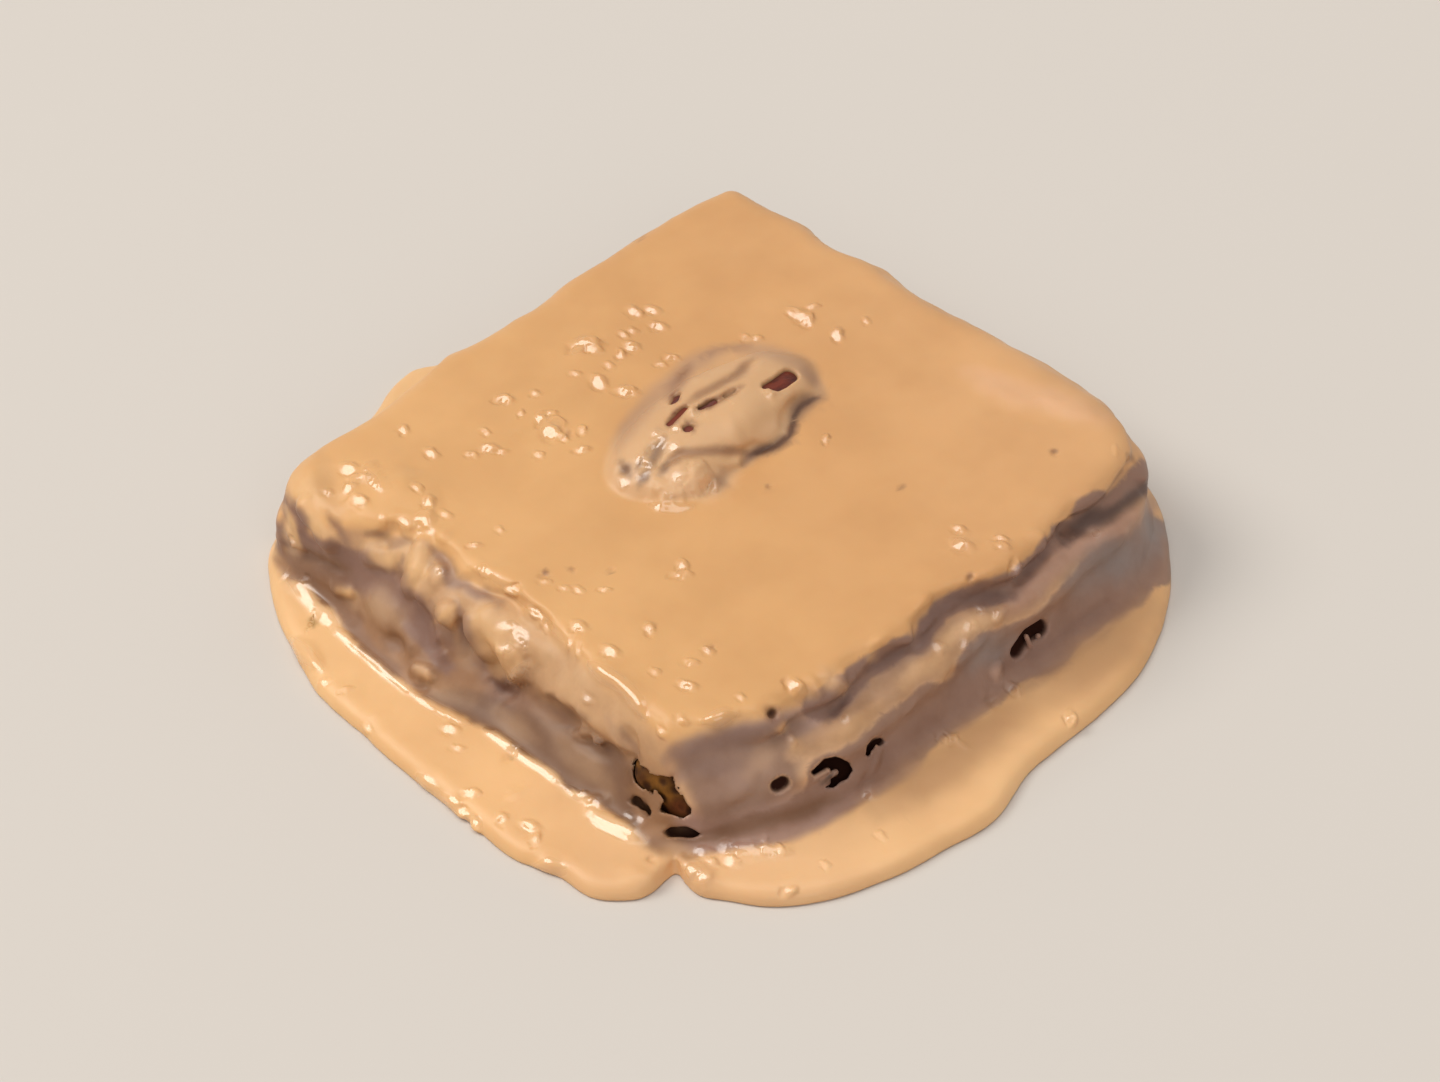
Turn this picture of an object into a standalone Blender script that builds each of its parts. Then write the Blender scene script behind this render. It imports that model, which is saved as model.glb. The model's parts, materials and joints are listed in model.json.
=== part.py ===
"""A square piece of basbousa: a baked semolina block under a thick poured
caramel sauce that has run down all four sides into a pool round its foot, with
one pecan half pressed into the top.

Metres, +Z up. The origin is the middle of the block's flat base, on the surface
that the piece rests on. The sides of the block run along X and Y. The sizes
below are in millimetres.
"""

import math

import bmesh
import bpy
import numpy as np

MM = 0.001
GAP = 0.3  # clearance between neighbouring pieces

# Semolina block
BLOCK_SIDE = 60.4
BLOCK_HEIGHT = 11.3
BLOCK_CORNER = 3.2  # upright corners, in plan
BLOCK_EDGE = 2.2  # top edge

# Sauce over the block: its top, and where its -X and +Y faces stand
TOP = 13.8
FACE_X_LOW = -34.5
FACE_Y_HIGH = 34.8
# rounding between the top and the +X, -X, +Y and -Y faces
SHOULDERS = (2.4, 3.8, 3.4, 1.9)
SHOULDER_LEFT = 2.0  # more rounding at the left end of the -Y edge
# rounding of the upright corners at the top and at the foot
CORNER_TOP = 4.5
CORNER_FOOT = {"front": 8.0, "right": 15.0, "back": 8.0, "left": 5.0}
CORNER_TOP_MORE = {"front": 1.5, "right": 6.5, "back": -3.2, "left": 4.4}
SKIRT_X_LOW = 2.4  # how far the -X and +Y faces spread down to their foot
SKIRT_Y_HIGH = 2.2
SKIRT_TOP = 12.5
SKIRT_FOOT = 1.5
SLOPE_TOP = 13.2  # the +X and -Y faces slope between these heights
SLOPE_FOOT = 2.4

# Sagging roll along the +X face and the hollow above it
ROLL_HEIGHT = 8.1
ROLL_RISE = 0.035  # mm of height for each mm along Y
ROLL_OUT = 1.0
ROLL_HALF = 1.5
HOLLOW_ABOVE = 2.8
HOLLOW_MOST = 11.4
HOLLOW_IN = 1.2
HOLLOW_HALF = 1.0

# The line where the top ends and the line where the wall meets the pool: y at each x on
# the -Y side, x at each y on the +X side.
EDGE_Y = (
    (-36.0, -33.2),
    (-28.0, -33.6),
    (-21.0, -33.0),
    (-17.6, -31.2),
    (-14.1, -28.9),
    (-10.7, -28.2),
    (-3.6, -29.0),
    (2.4, -27.7),
    (7.4, -28.2),
    (13.2, -29.1),
    (17.8, -29.8),
    (25.2, -30.2),
    (31.2, -31.7),
)
EDGE_X = (
    (-30.8, 31.8),
    (-25.1, 33.7),
    (-23.2, 35.7),
    (-20.1, 35.0),
    (-14.5, 36.6),
    (-12.2, 35.8),
    (-7.0, 36.3),
    (-2.3, 36.2),
    (0.8, 35.1),
    (5.1, 36.3),
    (9.3, 37.3),
    (13.4, 36.3),
    (20.1, 34.5),
    (28.4, 34.4),
)
FOOT_Y = (
    (-36.0, -34.0),
    (-28.0, -35.2),
    (-20.0, -35.3),
    (-12.2, -36.9),
    (-3.8, -37.6),
    (0.0, -36.6),
    (3.4, -35.6),
    (7.9, -35.6),
    (17.5, -36.1),
    (23.7, -35.5),
    (30.2, -35.8),
    (34.5, -35.0),
)
FOOT_X = (
    (-36.0, 34.4),
    (-32.6, 35.9),
    (-29.0, 39.5),
    (-25.8, 41.2),
    (-16.9, 42.5),
    (-10.4, 42.8),
    (-7.3, 41.1),
    (1.9, 41.5),
    (4.3, 39.9),
    (11.9, 41.0),
    (17.6, 40.1),
    (22.4, 40.6),
    (27.7, 38.4),
    (33.0, 37.0),
)
FOOT_BACK = 0.9  # the wall itself ends this far inside that line

# Pool round the foot
POOL_RADIUS = 47.0
POOL_THICK = 2.5
POOL_LIP = 2.2  # how far in from the rim the pool starts to round off
POOL_FILLET = 1.6
NOTCH_BEARING = -45.6  # where the two streams meet in front of the corner
# (bearing in degrees, half width in degrees, mm outwards)
POOL_LOBES = (
    (NOTCH_BEARING, 2.0, -2.8),
    (-31.0, 21.0, 8.6),
    (-10.0, 6.0, 2.2),
    (20.0, 20.0, 2.4),
    (-54.0, 4.5, 3.4),
    (-61.0, 7.0, 2.6),
    (-95.0, 17.0, -2.8),
    (-116.0, 7.0, -0.7),
    (-140.0, 9.0, 1.7),
    (-174.8, 6.5, 2.9),
    (180.0, 14.0, -1.2),
    (88.0, 26.0, -5.5),
    (135.0, 10.0, 5.4),
    (-152.0, 5.0, -1.4),
    (-140.0, 4.0, -0.7),
    (-82.0, 8.0, -0.5),
    (-66.0, 4.5, 0.5),
    (-57.5, 5.0, -1.2),
    (-49.0, 3.0, 1.0),
    (-40.0, 4.0, -0.6),
    (-20.0, 5.0, 0.6),
)

# Bumps under the sauce on the -Y face: (x, y, z, rx, ry, rz)
FACE_BUMPS = (
    (4.0, -30.0, 9.4, 3.6, 3.0, 2.9),
    (-3.4, -31.0, 9.2, 2.2, 2.2, 2.0),
    (-10.2, -30.0, 10.4, 2.4, 2.0, 2.2),
    (-15.2, -30.6, 9.8, 3.2, 2.2, 2.0),
)

# Broken bubbles in the +X face: (y, z, half width, half height, depth)
FACE_PITS = (
    (-24.3, 7.0, 0.95, 0.9, 2.4),
    (-18.7, 6.0, 2.1, 1.7, 3.0),
    (-13.2, 6.1, 1.3, 0.6, 2.0),
    (7.5, 4.9, 1.1, 0.9, 2.6),
    (9.6, 5.7, 1.1, 1.1, 2.4),
)
PIT_IN_POOL = (-21.4, -37.5, 0.75)  # x, y, radius
BARE_PATCH = (30.6, -32.4, 6.6, 3.6, 2.6, 2.0)  # bared crumb: centre and radii
SLIT = (33.2, -33.0, 2.8, 2.6, 2.6, 0.62)  # split round the corner under it

# Pecan half, flat side down
NUT_LENGTH = 29.5
NUT_WIDTH = 14.6
NUT_HEIGHT = 4.5  # above its flat side's rim
NUT_X = -2.3
NUT_Y = 3.6
NUT_BASE = 12.75  # height of that rim
NUT_UNDER = 0.3  # how far the flat side swells below it
NUT_TURN = 6.0  # degrees from +Y towards -X
NUT_GROOVE = 0.85
NUT_GROOVE_AT = 0.40  # of the half width, on each side of the spine
NUT_GROOVE_HALF = 0.085
NUT_WRINKLE = 0.28
NUT_WRINKLES = 8.0

COLUMNS = 108
TOP_RINGS = 5


def smooth_max(a, b, k):
    h = np.maximum(k - np.abs(a - b), 0.0) / k
    return np.maximum(a, b) + 0.25 * k * h * h


def smooth_min(a, b, k):
    return -smooth_max(-a, -b, k)


def hump(t, middle, half):
    return np.exp(-(((t - middle) / half) ** 2))


def ramp(t, start, end):
    t = np.clip((t - start) / (end - start), 0.0, 1.0)
    return t * t * (3.0 - 2.0 * t)


def rounded_line(corners):
    """A function of one length that follows these corners, with the corners rounded."""
    at = np.arange(-60.0, 60.01, 0.5)
    value = np.interp(at, [c[0] for c in corners], [c[1] for c in corners])
    share = np.exp(-(((at[:, None] - at[None, :]) / 1.1) ** 2))
    value = share @ value / share.sum(1)
    return lambda where: np.interp(where, at, value)


edge_y, edge_x = rounded_line(EDGE_Y), rounded_line(EDGE_X)
foot_y, foot_x = rounded_line(FOOT_Y), rounded_line(FOOT_X)


def skirt(z, spread):
    down = np.clip((SKIRT_TOP - z) / (SKIRT_TOP - SKIRT_FOOT), 0.0, 1.3)
    return spread * down**1.15


def side_faces(x, y, z):
    """How far outside each draped side face a place is: +X, -X, +Y, -Y."""
    slope = np.clip((SLOPE_TOP - z) / (SLOPE_TOP - SLOPE_FOOT), 0.0, 1.2)
    along = ramp(y, -31.0, -21.0)
    roll_at = ROLL_HEIGHT + ROLL_RISE * y
    hollow_at = np.minimum(roll_at + HOLLOW_ABOVE, HOLLOW_MOST)
    face = edge_x(y) + (foot_x(y) - FOOT_BACK - edge_x(y)) * slope
    face = face + along * ROLL_OUT * hump(z, roll_at, ROLL_HALF)
    face = face - along * HOLLOW_IN * hump(z, hollow_at, HOLLOW_HALF)
    x_high = x - face

    face = -FACE_X_LOW + 1.2 * ramp(y, 2.0, 12.0) - 1.5 * ramp(y, -6.0, -17.0)
    face = face + 0.6 * hump(y, 18.0, 5.0) - 0.6 * hump(y, 6.0, 4.0)
    face = face + 0.8 * hump(y, -8.0, 4.0) - 0.6 * hump(y, -20.0, 4.0)
    x_low = -x - (face + skirt(z, SKIRT_X_LOW) + 0.35 * np.sin(y * 0.31))

    face = FACE_Y_HIGH + 0.6 * hump(x, 13.0, 6.0) - 0.7 * ramp(x, 24.0, 33.0)
    face = face - 0.7 * hump(x, -1.0, 5.0) + 0.6 * hump(x, -12.0, 3.0)
    face = face - 0.8 * hump(x, -19.0, 4.0) - 0.5 * hump(x, 24.0, 4.0)
    y_high = y - (face + skirt(z, SKIRT_Y_HIGH) + 0.3 * np.sin(x * 0.27 + 1.0))

    face = -edge_y(x) + (edge_y(x) - foot_y(x) - FOOT_BACK) * slope
    face = face + 0.5 * hump(z, 10.0, 1.8) * ramp(x, -16.0, -8.0)
    face = face - 0.9 * hump(z, 6.2, 1.6) * ramp(x, -12.0, 2.0) * ramp(x, 28.0, 22.0)
    y_low = -y - face
    return x_high, x_low, y_high, y_low


def top_height(x, y):
    wave = 0.16 * np.sin(x * 0.19 + 0.7) * np.sin(y * 0.16 - 0.4)
    lip = 0.45 * hump(x, 18.0, 8.0) * hump(y, 30.5, 2.2)
    swell = 0.55 * hump(x, -18.0, 6.5) * hump(y, -25.0, 3.2)
    return TOP + wave + lip + swell


def pool_rim(bearing):
    """Radius of the pool's rim at a bearing in radians."""
    rim = np.full_like(bearing, POOL_RADIUS)
    for at, half, out in POOL_LOBES:
        off = (np.degrees(bearing) - at + 180.0) % 360.0 - 180.0
        rim = rim + out * np.exp(-((off / half) ** 2))
    return rim


def corner_rounding(x, y, z):
    high_x, high_y = ramp(x, -10.0, 10.0), ramp(y, -10.0, 10.0)
    share = {
        "front": high_x * (1.0 - high_y),
        "right": high_x * high_y,
        "back": (1.0 - high_x) * high_y,
        "left": (1.0 - high_x) * (1.0 - high_y),
    }
    at_top = CORNER_TOP + sum(share[k] * CORNER_TOP_MORE[k] for k in share)
    at_foot = sum(share[k] * CORNER_FOOT[k] for k in share)
    return at_top + (at_foot - at_top) * ramp(z, 12.5, 2.0)


def sauce_body(x, y, z, rim):
    """Below zero inside the coat and its pool, taken as filled."""
    x_high, x_low, y_high, y_low = side_faces(x, y, z)
    over = z - top_height(x, y)
    side = np.maximum(x_high, x_low), np.maximum(y_high, y_low)
    side = smooth_max(*side, corner_rounding(x, y, z))
    near = [np.exp(face / 2.5) for face in (x_high, x_low, y_high, y_low)]
    round_off = sum(n * k for n, k in zip(near, SHOULDERS))
    round_off = (round_off + near[3] * SHOULDER_LEFT * ramp(x, -14.0, -21.0)) / sum(near)
    body = smooth_max(side, over, round_off)
    for bx, by, bz, rx, ry, rz in FACE_BUMPS:
        q = np.sqrt(((x - bx) / rx) ** 2 + ((y - by) / ry) ** 2 + ((z - bz) / rz) ** 2)
        body = smooth_min(body, (q - 1.0) * min(rx, ry, rz), 1.0)
    out = np.hypot(x, y) - rim
    thick = POOL_THICK - 0.8 * ramp(out, -10.0, -1.0)
    pool = smooth_max(out, z - thick, POOL_LIP)
    return smooth_min(body, pool, POOL_FILLET)


def crossing(ray_from, ray_to, bearing, rim):
    """Where rays in the upright plane of each bearing leave the sauce. ray_from and ray_to are (radius, height) arrays."""
    cos, sin = np.cos(bearing), np.sin(bearing)
    lo, hi = np.zeros_like(bearing), np.ones_like(bearing)
    for _ in range(34):
        mid = 0.5 * (lo + hi)
        r = ray_from[0] + (ray_to[0] - ray_from[0]) * mid
        z = ray_from[1] + (ray_to[1] - ray_from[1]) * mid
        inside = sauce_body(r * cos, r * sin, z, rim) < 0
        lo, hi = np.where(inside, mid, lo), np.where(inside, hi, mid)
    r = ray_from[0] + (ray_to[0] - ray_from[0]) * lo
    z = ray_from[1] + (ray_to[1] - ray_from[1]) * lo
    return np.stack([r * cos, r * sin, z], axis=-1)


def sauce_rows():
    """Closed rings of points, from the middle of the top down to the floor."""
    # One column runs down into the notch in the rim.
    bearing = np.arange(COLUMNS) * 2.0 * np.pi / COLUMNS + np.radians(NOTCH_BEARING)
    rim = pool_rim(bearing)
    flat = np.zeros_like(bearing)
    edge = crossing((flat, flat + 13.0), (flat + 70.0, flat + 13.0), bearing, rim)
    edge = np.hypot(edge[:, 0], edge[:, 1])
    foot = crossing((flat, flat + 3.6), (flat + 70.0, flat + 3.6), bearing, rim)
    foot = np.hypot(foot[:, 0], foot[:, 1])
    rows = []
    inner = edge - 3.6
    for i in range(TOP_RINGS):
        r = inner * ((i + 1) / TOP_RINGS) ** 0.85
        rows.append(crossing((r, flat + 5.0), (r, flat + 30.0), bearing, rim))
    # The shoulder and the side face, by rays that fan out from inside the edge.
    start = (edge - 6.0, flat + 9.0)
    low = crossing((flat, flat + 5.0), (flat + 70.0, flat + 5.0), bearing, rim)
    low = np.hypot(low[:, 0], low[:, 1])
    lowest = np.arctan2(5.0 - start[1], low - start[0])
    highest = math.radians(56.0)
    for share in (0.0, 0.15, 0.27, 0.37, 0.46, 0.55, 0.64, 0.73, 0.82, 0.91, 1.0):
        angle = highest + (lowest - highest) * share
        end = (start[0] + 16.0 * np.cos(angle), start[1] + 16.0 * np.sin(angle))
        rows.append(crossing(start, end, bearing, rim))
    rows.append(crossing((flat, flat + 3.6), (flat + 70.0, flat + 3.6), bearing, rim))
    # The pool, from above, then its rounded lip.
    lip = np.maximum(rim - 1.5, foot + 0.3)
    first = np.minimum(foot + 0.8, foot + 0.25 * (lip - foot))
    for share in (0.0, 0.15, 0.36, 0.65, 1.0):
        r = first + (lip - first) * share
        rows.append(crossing((r, flat + 0.2), (r, flat + 12.0), bearing, rim))
    for angle in (40.0, 15.0):
        c, s = math.cos(math.radians(angle)), math.sin(math.radians(angle))
        end = (lip + 8.0 * c, flat + 0.1 + 8.0 * s)
        rows.append(crossing((lip, flat + 0.1), end, bearing, rim))
    last = rows[-1].copy()
    shrink = (np.hypot(last[:, 0], last[:, 1]) - 0.35) / np.hypot(last[:, 0], last[:, 1])
    last[:, :2] *= shrink[:, None]
    last[:, 2] = 0.0
    rows.append(last)
    return rows


def material(name, colour, roughness):
    made = bpy.data.materials.new(name)
    made.use_nodes = True
    shader = made.node_tree.nodes["Principled BSDF"]
    shader.inputs["Base Color"].default_value = (*colour, 1.0)
    shader.inputs["Roughness"].default_value = roughness
    shader.inputs["Metallic"].default_value = 0.0
    made.diffuse_color = (*colour, 1.0)
    return made


def new_object(name, mesh, look=None):
    made = bpy.data.objects.new(name, mesh)
    bpy.context.scene.collection.objects.link(made)
    if look:
        mesh.materials.append(look)
    return made


def mesh_from(name, points, faces, smooth=True):
    mesh = bpy.data.meshes.new(name)
    mesh.from_pydata([tuple(p * MM) for p in np.asarray(points, float)], [], faces)
    mesh.update()
    if smooth:
        mesh.shade_smooth()
    return mesh


def facing_out(mesh):
    bm = bmesh.new()
    bm.from_mesh(mesh)
    bmesh.ops.recalc_face_normals(bm, faces=bm.faces)
    bm.to_mesh(mesh)
    bm.free()
    return mesh


def helper(name, mesh):
    """A cutter: no part of the piece."""
    made = new_object(name, mesh)
    made.hide_render = True
    made.display_type = "WIRE"
    return made


def cut(target, cutter):
    step = target.modifiers.new("cut_" + cutter.name, "BOOLEAN")
    step.operation = "DIFFERENCE"
    step.solver = "EXACT"
    step.object = cutter


def rings_mesh(name, rows, cap_start, cap_end):
    """Skins a list of closed rings. Each cap is a point or None for one flat face."""
    count = len(rows[0])
    points = np.concatenate(rows)
    faces = []
    for i in range(len(rows) - 1):
        for j in range(count):
            k = (j + 1) % count
            faces.append(
                (i * count + j, (i + 1) * count + j, (i + 1) * count + k, i * count + k)
            )
    for cap, base in ((cap_start, 0), (cap_end, (len(rows) - 1) * count)):
        ring = [base + j for j in range(count)]
        if cap is None:
            faces.append(tuple(ring))
            continue
        points = np.concatenate([points, [cap]])
        for j in range(count):
            faces.append((ring[j], ring[(j + 1) % count], len(points) - 1))
    return facing_out(mesh_from(name, points, faces))


def block_mesh(name, side, height, corner, edge, below=0.0):
    """A square block with rounded upright corners and a rounded top edge."""
    steps = 5
    plan = []
    for quarter in range(4):
        for i in range(steps + 1):
            turn = math.radians(90.0 * quarter + 90.0 * i / steps)
            mid = math.radians(90.0 * quarter + 45.0)
            at = math.sqrt(2.0) * (side / 2.0 - corner)
            plan.append((at * math.cos(mid), at * math.sin(mid), turn))
    rows = []
    for z, inset in (
        [(-below, 0.0), (height - edge, 0.0)]
        + [
            (
                height - edge + edge * math.sin(math.radians(a)),
                edge * (1 - math.cos(math.radians(a))),
            )
            for a in (30.0, 60.0, 90.0)
        ]
    ):
        ring = []
        for cx, cy, turn in plan:
            radius = corner - inset
            ring.append((cx + radius * math.cos(turn), cy + radius * math.sin(turn), z))
        rows.append(np.array(ring))
    return rings_mesh(name, rows, None, None)


def nut_mesh(name, rings, around, grow=0.0):
    """A pecan half, flat side down, with two grooves along it and wrinkles across."""
    half_l, half_w = NUT_LENGTH / 2.0 + grow, NUT_WIDTH / 2.0 + grow
    tall = NUT_HEIGHT + grow
    turn = math.radians(NUT_TURN)
    rows = []
    for i in range(1, rings):
        t = -math.cos(math.pi * i / rings)  # -1 at the lower end, 1 at the upper
        along = t * half_l
        full = math.sqrt(max(1.0 - abs(t) ** 2.3, 0.0))
        wide = half_w * full * (1.0 - 0.10 * t)
        high = tall * full**0.8 * (1.0 - 0.06 * t)
        ring = []
        for j in range(around):
            a = 2.0 * math.pi * j / around
            c, s = math.cos(a), math.sin(a)
            u = math.copysign(abs(c) ** 0.85, c)
            across = wide * u
            if s > 0:
                z = high * s**0.75
            else:
                z = NUT_UNDER * s * (0.35 + 0.65 * full)
            if s > 0.05 and grow == 0.0:
                groove = math.exp(-(((abs(u) - NUT_GROOVE_AT) / NUT_GROOVE_HALF) ** 2))
                depth = NUT_GROOVE * groove * full
                wave = math.sin(NUT_WRINKLES * math.pi * t / 2.0 + 1.3 * np.sign(u))
                lobes = NUT_WRINKLE * wave * ramp(abs(u), 0.3, 0.75) * full
                z -= depth * (s**0.3)
                z += lobes * s
                across += 0.8 * lobes * u
            x = across * math.cos(turn) - along * math.sin(turn)
            y = across * math.sin(turn) + along * math.cos(turn)
            ring.append((NUT_X + x, NUT_Y + y, NUT_BASE - grow * (s <= 0) + z))
        rows.append(np.array(ring, float))
    ends = []
    for t in (-1.0, 1.0):
        along = t * half_l
        ends.append(
            (
                NUT_X - along * math.sin(turn),
                NUT_Y + along * math.cos(turn),
                NUT_BASE + 0.2,
            )
        )
    return rings_mesh(name, rows, ends[0], ends[1])


def ellipsoid(name, centre, radii, segments=12, rings=8):
    rows = []
    for i in range(1, rings):
        lat = math.pi * i / rings - math.pi / 2.0
        ring = [
            (
                centre[0] + radii[0] * math.cos(lat) * math.cos(a),
                centre[1] + radii[1] * math.cos(lat) * math.sin(a),
                centre[2] + radii[2] * math.sin(lat),
            )
            for a in (2.0 * math.pi * j / segments for j in range(segments))
        ]
        rows.append(np.array(ring))
    low = (centre[0], centre[1], centre[2] - radii[2])
    high = (centre[0], centre[1], centre[2] + radii[2])
    return rings_mesh(name, rows, low, high)


def face_x_at(y, z):
    """Where the +X face stands at one place."""
    lo, hi = 20.0, 60.0
    for _ in range(40):
        mid = 0.5 * (lo + hi)
        inside = side_faces(np.array(mid), np.array(y), np.array(z))[0] < 0
        lo, hi = (mid, hi) if inside else (lo, mid)
    return lo


def build():
    for old in list(bpy.data.objects):
        bpy.data.objects.remove(old, do_unlink=True)

    crumb_look = material("crumb", (0.36, 0.20, 0.06), 0.85)
    sauce_look = material("caramel_sauce", (0.72, 0.42, 0.19), 0.22)
    nut_look = material("pecan", (0.20, 0.07, 0.03), 0.45)

    block = block_mesh("cake", BLOCK_SIDE, BLOCK_HEIGHT, BLOCK_CORNER, BLOCK_EDGE)
    new_object("cake", block, crumb_look)

    rows = sauce_rows()
    crown = np.array([0.0, 0.0, float(top_height(np.array(0.0), np.array(0.0)))])
    sauce = new_object("sauce", rings_mesh("sauce", rows, crown, None), sauce_look)

    hollow = block_mesh(
        "cut_block",
        BLOCK_SIDE + 2 * GAP,
        BLOCK_HEIGHT + GAP,
        BLOCK_CORNER + GAP,
        BLOCK_EDGE,
        below=4.0,
    )
    cut(sauce, helper("cut_block", hollow))
    cut(sauce, helper("cut_nut", nut_mesh("cut_nut", 18, 16, GAP + 0.12)))

    for i, (y, z, half_y, half_z, deep) in enumerate(FACE_PITS):
        x = face_x_at(y, z)
        shape = ellipsoid(f"cut_pit_{i}", (x, y, z), (deep, half_y, half_z))
        cut(sauce, helper(f"cut_pit_{i}", shape))
    px, py, pr = PIT_IN_POOL
    shape = ellipsoid("cut_pool_pit", (px, py, POOL_THICK - 0.3), (pr, pr, 1.1), 10, 6)
    cut(sauce, helper("cut_pool_pit", shape))
    cut(sauce, helper("cut_patch", ellipsoid("cut_patch", BARE_PATCH[:3], BARE_PATCH[3:])))
    cut(sauce, helper("cut_slit", ellipsoid("cut_slit", SLIT[:3], SLIT[3:])))

    new_object("pecan", nut_mesh("pecan", 26, 26), nut_look)


build()
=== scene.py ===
"""The look of a square piece of basbousa under poured caramel sauce: the sauce as one
finely meshed skin with its lumps, folds, broken bubbles and pool, the pecan half that
it covers, and the moist crumb that it leaves bare.

Lengths are in millimetres up to the point where a mesh is made. Places on the coat
that are given as pairs are positions in the 1440 x 1082 frame of the scene's camera,
and are found on the coat by following the camera's line to it.
"""

import json
import math

import bpy
import numpy as np
from mathutils import Matrix, Vector

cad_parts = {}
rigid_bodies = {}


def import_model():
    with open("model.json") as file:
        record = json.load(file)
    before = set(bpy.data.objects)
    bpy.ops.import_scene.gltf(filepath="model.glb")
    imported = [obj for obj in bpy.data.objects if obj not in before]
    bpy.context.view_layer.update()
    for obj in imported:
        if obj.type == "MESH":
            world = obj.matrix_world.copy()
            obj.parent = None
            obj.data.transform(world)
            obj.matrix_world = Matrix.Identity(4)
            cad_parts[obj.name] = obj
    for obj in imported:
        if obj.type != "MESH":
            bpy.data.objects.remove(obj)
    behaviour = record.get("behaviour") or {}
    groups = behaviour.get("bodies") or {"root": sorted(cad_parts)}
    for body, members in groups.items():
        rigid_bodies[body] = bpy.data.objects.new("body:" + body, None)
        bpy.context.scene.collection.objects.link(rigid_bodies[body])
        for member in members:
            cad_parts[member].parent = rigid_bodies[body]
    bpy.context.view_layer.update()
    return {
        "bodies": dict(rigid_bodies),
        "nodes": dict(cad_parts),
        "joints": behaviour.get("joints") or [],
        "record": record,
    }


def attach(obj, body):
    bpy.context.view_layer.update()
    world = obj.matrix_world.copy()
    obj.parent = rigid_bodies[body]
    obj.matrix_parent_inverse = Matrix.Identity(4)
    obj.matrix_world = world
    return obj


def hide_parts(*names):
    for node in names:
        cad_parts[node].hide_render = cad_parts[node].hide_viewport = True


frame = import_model()

MM = 0.001
GRID = 0.27
SAUCE_TRIANGLES = 190000

# ---------------------------------------------------------------- camera
CAM_RISE, CAM_ROUND, CAM_ROLL = 38.97, 53.67, -7.08
CAM_DISTANCE = 526.19
CAM_FOCAL = 5000.0  # in pixels of the frame
CAM_OFFSET = (-2.65, 12.57)  # where the origin shows, from the frame's middle


def camera_axes():
    rise, turn, roll = map(math.radians, (CAM_RISE, CAM_ROUND, CAM_ROLL))
    back = np.array(
        [math.sin(turn) * math.cos(rise), -math.cos(turn) * math.cos(rise), math.sin(rise)]
    )
    right = np.array([math.cos(turn), math.sin(turn), 0.0])
    up = np.cross(back, right)
    right, up = (
        right * math.cos(roll) + up * math.sin(roll),
        -right * math.sin(roll) + up * math.cos(roll),
    )
    place = back * CAM_DISTANCE
    aim = -back - right * (CAM_OFFSET[0] / CAM_FOCAL) + up * (CAM_OFFSET[1] / CAM_FOCAL)
    aim /= np.linalg.norm(aim)
    back = -aim
    right = right - back * (right @ back)
    right /= np.linalg.norm(right)
    return place, right, np.cross(back, right), back


PLACE, RIGHT, UP, BACK = camera_axes()
KEY_WAY = (-0.58, -0.36, 0.75)

# ---------------------------------------------------------------- the plain coat
BLOCK_SIDE, BLOCK_HEIGHT, BLOCK_CORNER, BLOCK_EDGE = 60.4, 11.3, 3.2, 2.2
GAP = 0.3
TOP = 13.8
FACE_X_LOW, FACE_Y_HIGH = -34.5, 34.8
SHOULDERS = (2.4, 3.8, 3.4, 1.9)
SHOULDER_LEFT = 2.0  # more rounding at the left end of the -Y edge
CORNER_TOP = 4.5
CORNER_FOOT = {"front": 8.0, "right": 15.0, "back": 8.0, "left": 5.0}
CORNER_TOP_MORE = {"front": 1.5, "right": 6.5, "back": -3.2, "left": 4.4}
SKIRT_X_LOW, SKIRT_Y_HIGH = 2.4, 2.2
SKIRT_TOP, SKIRT_FOOT = 12.5, 1.5
SLOPE_TOP, SLOPE_FOOT = 13.2, 2.4
ROLL_HEIGHT, ROLL_RISE, ROLL_OUT, ROLL_HALF = 8.1, 0.035, 1.0, 1.5
HOLLOW_ABOVE, HOLLOW_MOST, HOLLOW_IN, HOLLOW_HALF = 2.8, 11.4, 1.2, 1.0
# The line where the top ends and the line where the wall meets the pool: y at each x on
# the -Y side, x at each y on the +X side.
EDGE_Y = (
    (-36.0, -33.2),
    (-28.0, -33.6),
    (-21.0, -33.0),
    (-17.6, -31.2),
    (-14.1, -28.9),
    (-10.7, -28.2),
    (-3.6, -29.0),
    (2.4, -27.7),
    (7.4, -28.2),
    (13.2, -29.1),
    (17.8, -29.8),
    (25.2, -30.2),
    (31.2, -31.7),
)
EDGE_X = (
    (-30.8, 31.8),
    (-25.1, 33.7),
    (-23.2, 35.7),
    (-20.1, 35.0),
    (-14.5, 36.6),
    (-12.2, 35.8),
    (-7.0, 36.3),
    (-2.3, 36.2),
    (0.8, 35.1),
    (5.1, 36.3),
    (9.3, 37.3),
    (13.4, 36.3),
    (20.1, 34.5),
    (28.4, 34.4),
)
FOOT_Y = (
    (-36.0, -34.0),
    (-28.0, -35.2),
    (-20.0, -35.3),
    (-12.2, -36.9),
    (-3.8, -37.6),
    (0.0, -36.6),
    (3.4, -35.6),
    (7.9, -35.6),
    (17.5, -36.1),
    (23.7, -35.5),
    (30.2, -35.8),
    (34.5, -35.0),
)
FOOT_X = (
    (-36.0, 34.4),
    (-32.6, 35.9),
    (-29.0, 39.5),
    (-25.8, 41.2),
    (-16.9, 42.5),
    (-10.4, 42.8),
    (-7.3, 41.1),
    (1.9, 41.5),
    (4.3, 39.9),
    (11.9, 41.0),
    (17.6, 40.1),
    (22.4, 40.6),
    (27.7, 38.4),
    (33.0, 37.0),
)
FOOT_BACK = 0.9  # the wall itself ends this far inside that line
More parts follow.
